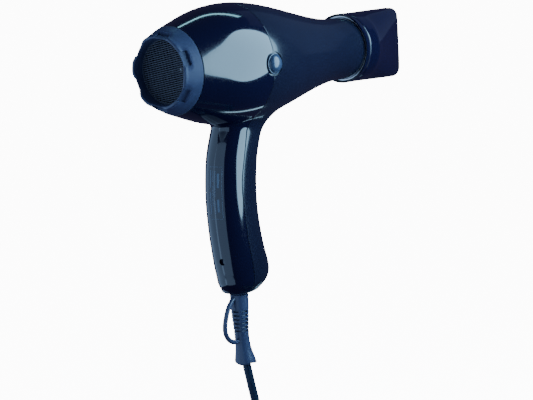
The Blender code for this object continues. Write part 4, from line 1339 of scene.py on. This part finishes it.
@dataclass
class StrainRelief:
    """Flexible sleeve under the handle, slotted so that it bends, with its hanging loop."""

    finishes: Finishes
    rings: tuple[Point, ...] = (       # z, centre x, radius
        (-156.4, 54.0, 7.4), (-156.8, 54.0, 8.1), (-158.8, 54.0, 8.1), (-158.9, 54.0, 5.7),
        (-162.9, 54.0, 5.7), (-163.15, 54.0, 6.4), (-163.5, 54.0, 6.65), (-168.0, 54.0, 6.6),
        (-174.0, 53.9, 6.5), (-182.0, 54.0, 6.0), (-190.0, 54.2, 5.4), (-194.0, 54.4, 5.25),
        (-198.0, 54.7, 5.3), (-202.0, 55.1, 5.65), (-206.0, 55.7, 6.3), (-209.5, 56.3, 7.1),
        (-212.4, 56.8, 7.75), (-213.4, 57.0, 7.85), (-213.9, 57.0, 7.6), (-214.1, 57.0, 7.2))
    bore: float = 3.5
    count: int = 64
    loop_radius: float = 1.75
    loop: tuple[tuple[float, float], ...] = (
        (51.6, -162.6), (48.4, -165.1), (43.2, -169.9), (38.7, -178.8), (37.3, -186.9), (39.4, -192.4),
        (44.5, -196.4), (52.4, -197.0))
    slot_rows: tuple[float, ...] = (-175.2, -178.1, -181.0, -183.9, -186.8, -189.4)
    slot_columns: tuple[float, ...] = (-105.0, -50.0, 15.0, 75.0, 130.0, -165.0)

    def ring(self, z: float, x: float, radius: float) -> list[Point]:
        """Round section; the mouth at the bottom waves slightly, as soft mouldings do.

        Args:
            z: Its height.
            x: Its centre along the barrel.
            radius: Its radius.

        Returns:
            Points round the section.
        """
        points = []
        for k in range(self.count):
            angle = math.tau * k / self.count
            wave = 0.55 * math.sin(3 * angle + 0.7) * smoothstep((-206.0 - z) / 8.0)
            points.append((x + radius * math.cos(angle), radius * math.sin(angle), z + wave))
        return points

    def build(self) -> None:
        """Build the sleeve, cut its slots and add the loop."""
        outer = [self.ring(z, x, radius) for z, x, radius in self.rings]
        inner = [self.ring(z, x, radius) for z, x, radius in (
            (-213.9, 57.0, 4.9), (-212.0, 56.8, 4.2), (-209.0, 56.3, self.bore), (-198.0, 54.7, self.bore),
            (-174.0, 53.9, self.bore), (-156.4, 54.0, self.bore))]
        sleeve = as_object("relief_sleeve", loft(outer + inner, looped=True))
        cutters = [self.slot(z, turn) for z in self.slot_rows for turn in self.slot_columns]
        carve(sleeve, [merged(cutters)])
        publish(sleeve, self.finishes.satin, Body.HOUSING, Slot.SATIN, "strain_relief")
        route = smooth_route([(x, 0.0, z) for x, z in self.loop], 1.0)
        publish(as_object("hang_loop", self.bar(route)), self.finishes.satin, Body.HOUSING, Slot.SATIN)

    def slot(self, z: float, turn: float) -> bmesh.types.BMesh:
        """Cutter of one slot in the sleeve.

        Args:
            z: Its height.
            turn: Where round the sleeve, in degrees.

        Returns:
            A closed bmesh.
        """
        reach = 6.5 - (-174.0 - z) * 0.068
        bm = rounded_box((reach - 0.35, 0, 0), (2.9, 4.5, 1.35), 0.3, 2)
        bm.transform(Matrix.Translation((54.0, 0, z)) @ Matrix.Rotation(math.radians(turn), 4, "Z"))
        return bm

    def bar(self, route: Sequence[Point]) -> bmesh.types.BMesh:
        """Round bar along a route in the plane y = 0, whose ends are inside the sleeve.

        Args:
            route: Points of its middle line.

        Returns:
            A closed bmesh.
        """
        path = [Vector(point) for point in route]
        side = Vector((0, 1, 0))
        rings = []
        for k, point in enumerate(path):
            ahead = (path[min(k + 1, len(path) - 1)] - path[max(k - 1, 0)]).normalized()
            across = ahead.cross(side)
            rings.append([tuple(point + self.loop_radius * (math.cos(a) * side + math.sin(a) * across))
                          for a in np.linspace(0, math.tau, 20, endpoint=False)])
        return loft(rings)


# ------------------------------------------------------------------ lead

@dataclass
class Lead:
    """Mains lead: down from the strain relief, round its coil and out to the plug."""

    finishes: Finishes
    radius: float = 3.1
    length: float = 1.7
    drop: tuple[Point, ...] = (        # from the mouth of the strain relief down to the coil
        (57.3, 0.0, -214.4), (58.9, 0.0, -221.0), (60.5, 0.0, -227.6), (62.1, 0.0, -234.2),
        (63.8, 0.0, -240.8), (65.6, 0.0, -247.4), (68.0, 0.0, -254.4), (71.6, 0.0, -261.6),
        (76.8, 0.0, -268.2), (83.4, 0.0, -273.6), (91.0, 0.0, -277.4), (99.6, 0.0, -279.6),
        (107.0, 0.0, -280.2))
    tail: tuple[Point, ...] = (        # from the coil to the plug
        (107.0, -100.4, -281.4), (102.0, -102.0, -282.2), (97.5, -105.0, -282.4), (93.5, -108.0, -281.8),
        (89.5, -110.2, -280.6), (85.5, -110.8, -279.8), (80.8, -110.8, -279.7))
    coil_centre: tuple[float, float] = (112.0, -50.0)
    coil_floor: float = -280.8          # height of the lowest turns' middle line
    slots: tuple[tuple[float, float], ...] = (   # radius and height of each turn
        (43.7, 0.0), (37.5, 0.0), (31.3, 0.0), (31.3, 6.25), (37.5, 6.25), (43.7, 6.25), (50.0, 0.4))
    change: float = 0.3                 # share of each turn in which the lead changes slot
    entry_radius: float = 50.0
    per_turn: int = 24
    turns: float = 6.5
    tie_turn: float = math.radians(-150.0)
    tie_width: float = 12.0
    plug_centre: tuple[float, float] = (66.0, -110.8)
    pin_offset: float = 9.3

    def coil_point(self, turn: float) -> Point:
        """Middle line of the coil, which runs clockwise from the coil's +y side.

        Args:
            turn: Number of turns so far.

        Returns:
            A point in barrel axes.
        """
        index = min(int(turn), len(self.slots) - 1)
        change = 0.42 if index == len(self.slots) - 1 else self.change
        share = smoothstep((turn - index) / change)
        hump = math.sin(math.pi * min(1.0, (turn - index) / change))
        before = self.slots[index - 1] if index else (self.entry_radius, 0.6)
        after = self.slots[index]
        radius = before[0] + (after[0] - before[0]) * share
        height = before[1] + (after[1] - before[1]) * share
        if index == 3:
            radius -= 3.4 * hump
        if index == len(self.slots) - 1:
            radius += 1.4 * hump
        angle = math.pi / 2 - math.tau * turn
        x, y = self.coil_centre
        return x + radius * math.cos(angle), y + radius * math.sin(angle), self.coil_floor + height

    def route(self) -> list[Point]:
        """Points of the whole lead.

        Returns:
            Points in order from the dryer to the plug.
        """
        turns = np.linspace(0.0, self.turns, int(self.turns * self.per_turn) + 1)
        coil = [self.coil_point(float(turn)) for turn in turns]
        return list(self.drop) + coil + list(self.tail)

    def build(self) -> None:
        """Build the lead, its tie and its plug."""
        points = smooth_route(self.route(), 2.6)
        curve = bpy.data.curves.new("mains_lead", "CURVE")
        curve.dimensions = "3D"
        curve.bevel_depth = self.radius * MM
        curve.bevel_resolution = 5
        curve.use_fill_caps = True
        spline = curve.splines.new("POLY")
        spline.points.add(len(points) - 1)
        for knot, point in zip(spline.points, points):
            knot.co = (*place(point), 1.0)
        spline.use_smooth = True
        lead = bpy.data.objects.new("mains_lead", curve)
        bpy.context.scene.collection.objects.link(lead)
        publish(lead, self.finishes.rubber, Body.HOUSING, Slot.RUBBER, "cord", "cord_coil", "cord_tail")
        tie = self.build_tie()
        plug = self.build_plug()

    def build_tie(self) -> bpy.types.Object:
        """Woven strap round the bundle of turns.

        Returns:
            The strap.
        """
        hull = ((31.3, 0.0), (43.7, 0.0), (43.7, 6.25), (31.3, 6.25))
        inner = self.wrap(hull, self.radius + 0.35)
        outer = self.wrap(hull, self.radius + 1.55)
        radial = Vector((math.cos(self.tie_turn), math.sin(self.tie_turn), 0))
        along = Vector((-math.sin(self.tie_turn), math.cos(self.tie_turn), 0))
        centre = Vector((*self.coil_centre, self.coil_floor))
        rings = []
        half = self.tie_width / 2
        for outline, width in ((outer, -half), (outer, -half / 2), (outer, 0.0), (outer, half / 2),
                               (outer, half), (inner, half), (inner, 0.0), (inner, -half)):
            ring = []
            for radius, height in outline:
                reach = math.sqrt(max(radius ** 2 - width ** 2, 0.0))
                ring.append(tuple(centre + radial * reach + along * width + Vector((0, 0, height))))
            rings.append(ring)
        bm = loft(rings, looped=True)
        soften(bm, 0.25, 2, least=50.0)
        tie = as_object("lead_tie", bm)
        return publish(tie, self.finishes.strap, Body.HOUSING, Slot.BLACK, "cord_tie")

    def wrap(self, hull: Knots, spread: float) -> list[tuple[float, float]]:
        """Rounded outline at a distance round a polygon.

        Args:
            hull: The polygon's corners.
            spread: The distance.

        Returns:
            (radius, height) points.
        """
        outline = []
        for k, corner in enumerate(hull):
            before, after = Vector(hull[k - 1]), Vector(hull[(k + 1) % len(hull)])
            into, away = Vector(corner) - before, after - Vector(corner)
            start = math.atan2(into.y, into.x) - math.pi / 2
            end = math.atan2(away.y, away.x) - math.pi / 2
            sweep = (end - start) % math.tau
            for step in range(9):
                angle = start + sweep * step / 8
                outline.append((corner[0] + spread * math.cos(angle), corner[1] + spread * math.sin(angle)))
        return outline

    def build_plug(self) -> list[bpy.types.Object]:
        """Flat two-pin plug with finger grooves, and the insulated sleeves on its pins.

        Returns:
            The plug's moulding and the sleeves.
        """
        centre_z = FLOOR_Z + 6.9
        face_x = self.plug_centre[0] - 20.0
        sections = (            # distance from the face, half width, half height, squareness
            (0.0, 16.4, 6.0, 5.0), (0.35, 17.0, 6.5, 5.0), (1.2, 17.4, 6.8, 5.0), (8.0, 17.5, 6.8, 5.0),
            (11.0, 16.6, 6.8, 4.5), (14.0, 14.5, 6.8, 4.0), (18.0, 11.3, 6.8, 3.5), (22.0, 8.8, 6.6, 3.0),
            (28.0, 5.8, 5.6, 2.2), (31.0, 4.9, 4.9, 2.0), (34.0, 4.2, 4.2, 2.0))
        rings = []
        for x, half_y, half_z, power in sections:
            lift = -0.6 * smoothstep((x - 26.0) / 6.0)
            rings.append([(face_x + x, self.plug_centre[1] + b, centre_z + lift + a)
                          for a, b in superellipse(half_z, half_y, power, 72)])
        body = as_object("plug_moulding", loft(rings))
        grooves = []
        for k in range(4):
            for side in (-1, 1):
                x = 12.5 + 3.0 * k
                half_y = float(np.interp(x, [s[0] for s in sections], [s[1] for s in sections]))
                y = self.plug_centre[1] + side * (half_y + 0.35)
                grooves.append(rounded_box((face_x + x, y, centre_z), (1.1, 2.4, 9.0), 0.35, 2))
        carve(body, [merged(grooves)])
        publish(body, self.finishes.rubber, Body.HOUSING, Slot.RUBBER, "plug_body")
        sleeve = ((-9.6, 2.05), (-9.6, 2.5), (-9.2, 2.62), (-0.1, 2.62), (-0.1, 2.05))
        sleeves = [turned(sleeve, 32, (face_x, self.plug_centre[1] + side * self.pin_offset, centre_z))
                   for side in (-1, 1)]
        sleeve_item = as_object("plug_pin_sleeves", merged(sleeves))
        publish(sleeve_item, self.finishes.black, Body.HOUSING, Slot.RUBBER)
        return [body, sleeve_item]


# ------------------------------------------------------------------ carried-over parts

@dataclass
class Works:
    """CAD parts that stay as they are: the works inside, the screws and the plug pins."""

    finishes: Finishes

    def build(self) -> None:
        """Give every CAD node the finish of its material slot."""
        slots = {part["node"]: part["material_slot"] for part in frame["record"]["subparts"]}
        wear = self.finishes
        dress = {Slot.NAVY: wear.navy, Slot.SLATE: wear.slate, Slot.SATIN: wear.satin, Slot.BLACK: wear.black,
                 Slot.WHITE: wear.white, Slot.MICA: wear.mica, Slot.STEEL: wear.steel,
                 Slot.RUBBER: wear.rubber, Slot.BROWN: wear.brown, Slot.BLUE: wear.blue}
        for name, node in frame["nodes"].items():
            finish = dress[Slot(slots[name])]
            if not node.material_slots:
                node.data.materials.append(finish)
            for slot in node.material_slots:
                slot.material = finish
            LOG.info("CAD part %s wears %s", name, finish.name)


# ------------------------------------------------------------------ studio

@dataclass(frozen=True)
class Softbox:
    """A flat light that faces the dryer's barrel.

    azimuth is 0 towards -Y and 90 towards +X, in degrees like elevation and roll; sizes and distances
    are in metres. An upright light faces the barrel level, and the others tilt towards it.
    """

    name: str
    azimuth: float
    elevation: float
    distance: float
    width: float
    height: float
    radiance: float
    colour: Point = (0.42, 0.74, 1.0)
    upright: bool = False
    roll: float = 0.0
    shape: LightShape = LightShape.RECTANGLE

    def build(self, target: Vector) -> None:
        """Place the light so that it faces the target.

        Args:
            target: The point, in metres.
        """
        a, e = math.radians(self.azimuth), math.radians(self.elevation)
        away = Vector((math.sin(a) * math.cos(e), -math.cos(a) * math.cos(e), math.sin(e)))
        data = bpy.data.lights.new(self.name, "AREA")
        data.shape = self.shape.value
        data.size, data.size_y = self.width, self.height
        fill = math.pi / 4.0 if self.shape is LightShape.ELLIPSE else 1.0
        data.energy = self.radiance * math.pi * self.width * self.height * fill
        data.color = self.colour
        light = bpy.data.objects.new(self.name, data)
        facing = Vector((away.x, away.y, 0.0)) if self.upright else away
        turn = facing.to_track_quat("Z", "Y").to_matrix().to_4x4()
        turn @= Matrix.Rotation(math.radians(self.roll), 4, "Z")
        light.matrix_world = Matrix.Translation(target + away * self.distance) @ turn
        bpy.context.scene.collection.objects.link(light)


@dataclass
class Studio:
    """Pale floor, soft light and the camera."""

    camera_at: Point = (-0.819239, -0.751152, 0.177240)
    azimuth: float = math.radians(-48.73)
    elevation: float = math.radians(8.91)
    roll: float = math.radians(3.2)
    lens: float = 108.07
    floor_size: float = 60.0
    glow: float = 12.0
    target: Point = (0.0, 0.0, 0.09)
    lights: tuple[Softbox, ...] = (
        Softbox("key_softbox", 28.3, 24.4, 0.3875, 0.33, 0.67, 9.0, upright=True, roll=-15.0,
                shape=LightShape.ELLIPSE),
        Softbox("side_wall", -90.0, -8.0, 0.90, 1.15, 1.25, 1.2, (0.42, 0.66, 1.0)),
        Softbox("rear_wall", -150.0, -8.0, 0.90, 1.15, 1.25, 1.2, (0.42, 0.66, 1.0)),
        Softbox("back_strip", 117.0, 56.0, 1.0, 0.55, 0.05, 6.0, (0.35, 0.85, 1.0)),
        Softbox("low_strip", 91.0, -56.0, 0.6, 0.03, 0.28, 4.0, (0.45, 0.78, 1.0)),
        Softbox("front_fill", 88.0, 25.0, 1.2, 0.7, 1.1, 0.09, (0.45, 0.62, 1.0)))

    def build(self) -> None:
        """Build floor, camera, lights and world."""
        self.build_camera()
        self.build_floor()
        for light in self.lights:
            light.build(Vector(self.target))
        self.build_world()

    def build_camera(self) -> None:
        """Camera with a slight roll and no shift."""
        a, e, r = self.azimuth, self.elevation, self.roll
        back = Vector((math.sin(a) * math.cos(e), -math.cos(a) * math.cos(e), math.sin(e)))
        level = Vector((math.cos(a), math.sin(a), 0.0))
        upright = back.cross(level)
        right = math.cos(r) * level - math.sin(r) * upright
        up = math.sin(r) * level + math.cos(r) * upright
        data = bpy.data.cameras.new("camera")
        data.lens = self.lens
        data.clip_end = 200.0
        camera = bpy.data.objects.new("camera", data)
        turn = Matrix((right, up, back)).transposed().to_4x4()
        camera.matrix_world = Matrix.Translation(self.camera_at) @ turn
        bpy.context.scene.collection.objects.link(camera)
        bpy.context.scene.camera = camera

    def build_floor(self) -> None:
        """Pale floor that glows evenly where it is looked at and takes no part in the lighting."""
        bm = bmesh.new()
        bmesh.ops.create_grid(bm, x_segments=1, y_segments=1, size=self.floor_size / 2)
        mesh = bpy.data.meshes.new("floor")
        bm.to_mesh(mesh)
        bm.free()
        floor = bpy.data.objects.new("floor", mesh)
        floor.location = (0, 0, (FLOOR_Z - GRIP.z) * MM - 0.0002)
        floor.visible_diffuse = False
        floor.visible_glossy = False
        floor.visible_transmission = False
        floor.visible_shadow = False
        bpy.context.scene.collection.objects.link(floor)
        material, _, shader = start_material("pale_floor")
        shader.inputs["Base Color"].default_value = (0.72, 0.74, 0.78, 1.0)
        shader.inputs["Roughness"].default_value = 0.9
        shader.inputs["Emission Color"].default_value = (1.0, 1.0, 1.0, 1.0)
        shader.inputs["Emission Strength"].default_value = self.glow
        mesh.materials.append(material)

    def build_world(self) -> None:
        """World that is white where it is looked at and a dim blue in reflections."""
        world = bpy.data.worlds.new("studio")
        world.use_nodes = True
        sheet = NodeSheet(world.node_tree)
        path = sheet.add("ShaderNodeLightPath")
        seen = sheet.add("ShaderNodeBackground", {"Color": (1, 1, 1, 1), "Strength": self.glow})
        around = world.node_tree.nodes["Background"]
        around.inputs["Color"].default_value = (0.34, 0.32, 0.80, 1.0)
        around.inputs["Strength"].default_value = 0.08
        mix = sheet.add("ShaderNodeMixShader", {0: path.outputs["Is Camera Ray"],
                                                1: around.outputs["Background"],
                                                2: seen.outputs["Background"]})
        output = world.node_tree.nodes["World Output"]
        world.node_tree.links.new(mix.outputs["Shader"], output.inputs["Surface"])
        bpy.context.scene.world = world


# ------------------------------------------------------------------ assembly

def main() -> None:
    """Build every sub-assembly in order."""
    logging.basicConfig(level=logging.INFO, format="%(message)s")
    finishes = Finishes()
    Studio().build()
    Lead(finishes).build()
    Housing(finishes).build()
    Intake(finishes).build()
    Nozzle(finishes).build()
    Switches(finishes).build()
    StrainRelief(finishes).build()
    Works(finishes).build()


if __name__ == "__main__":
    main()
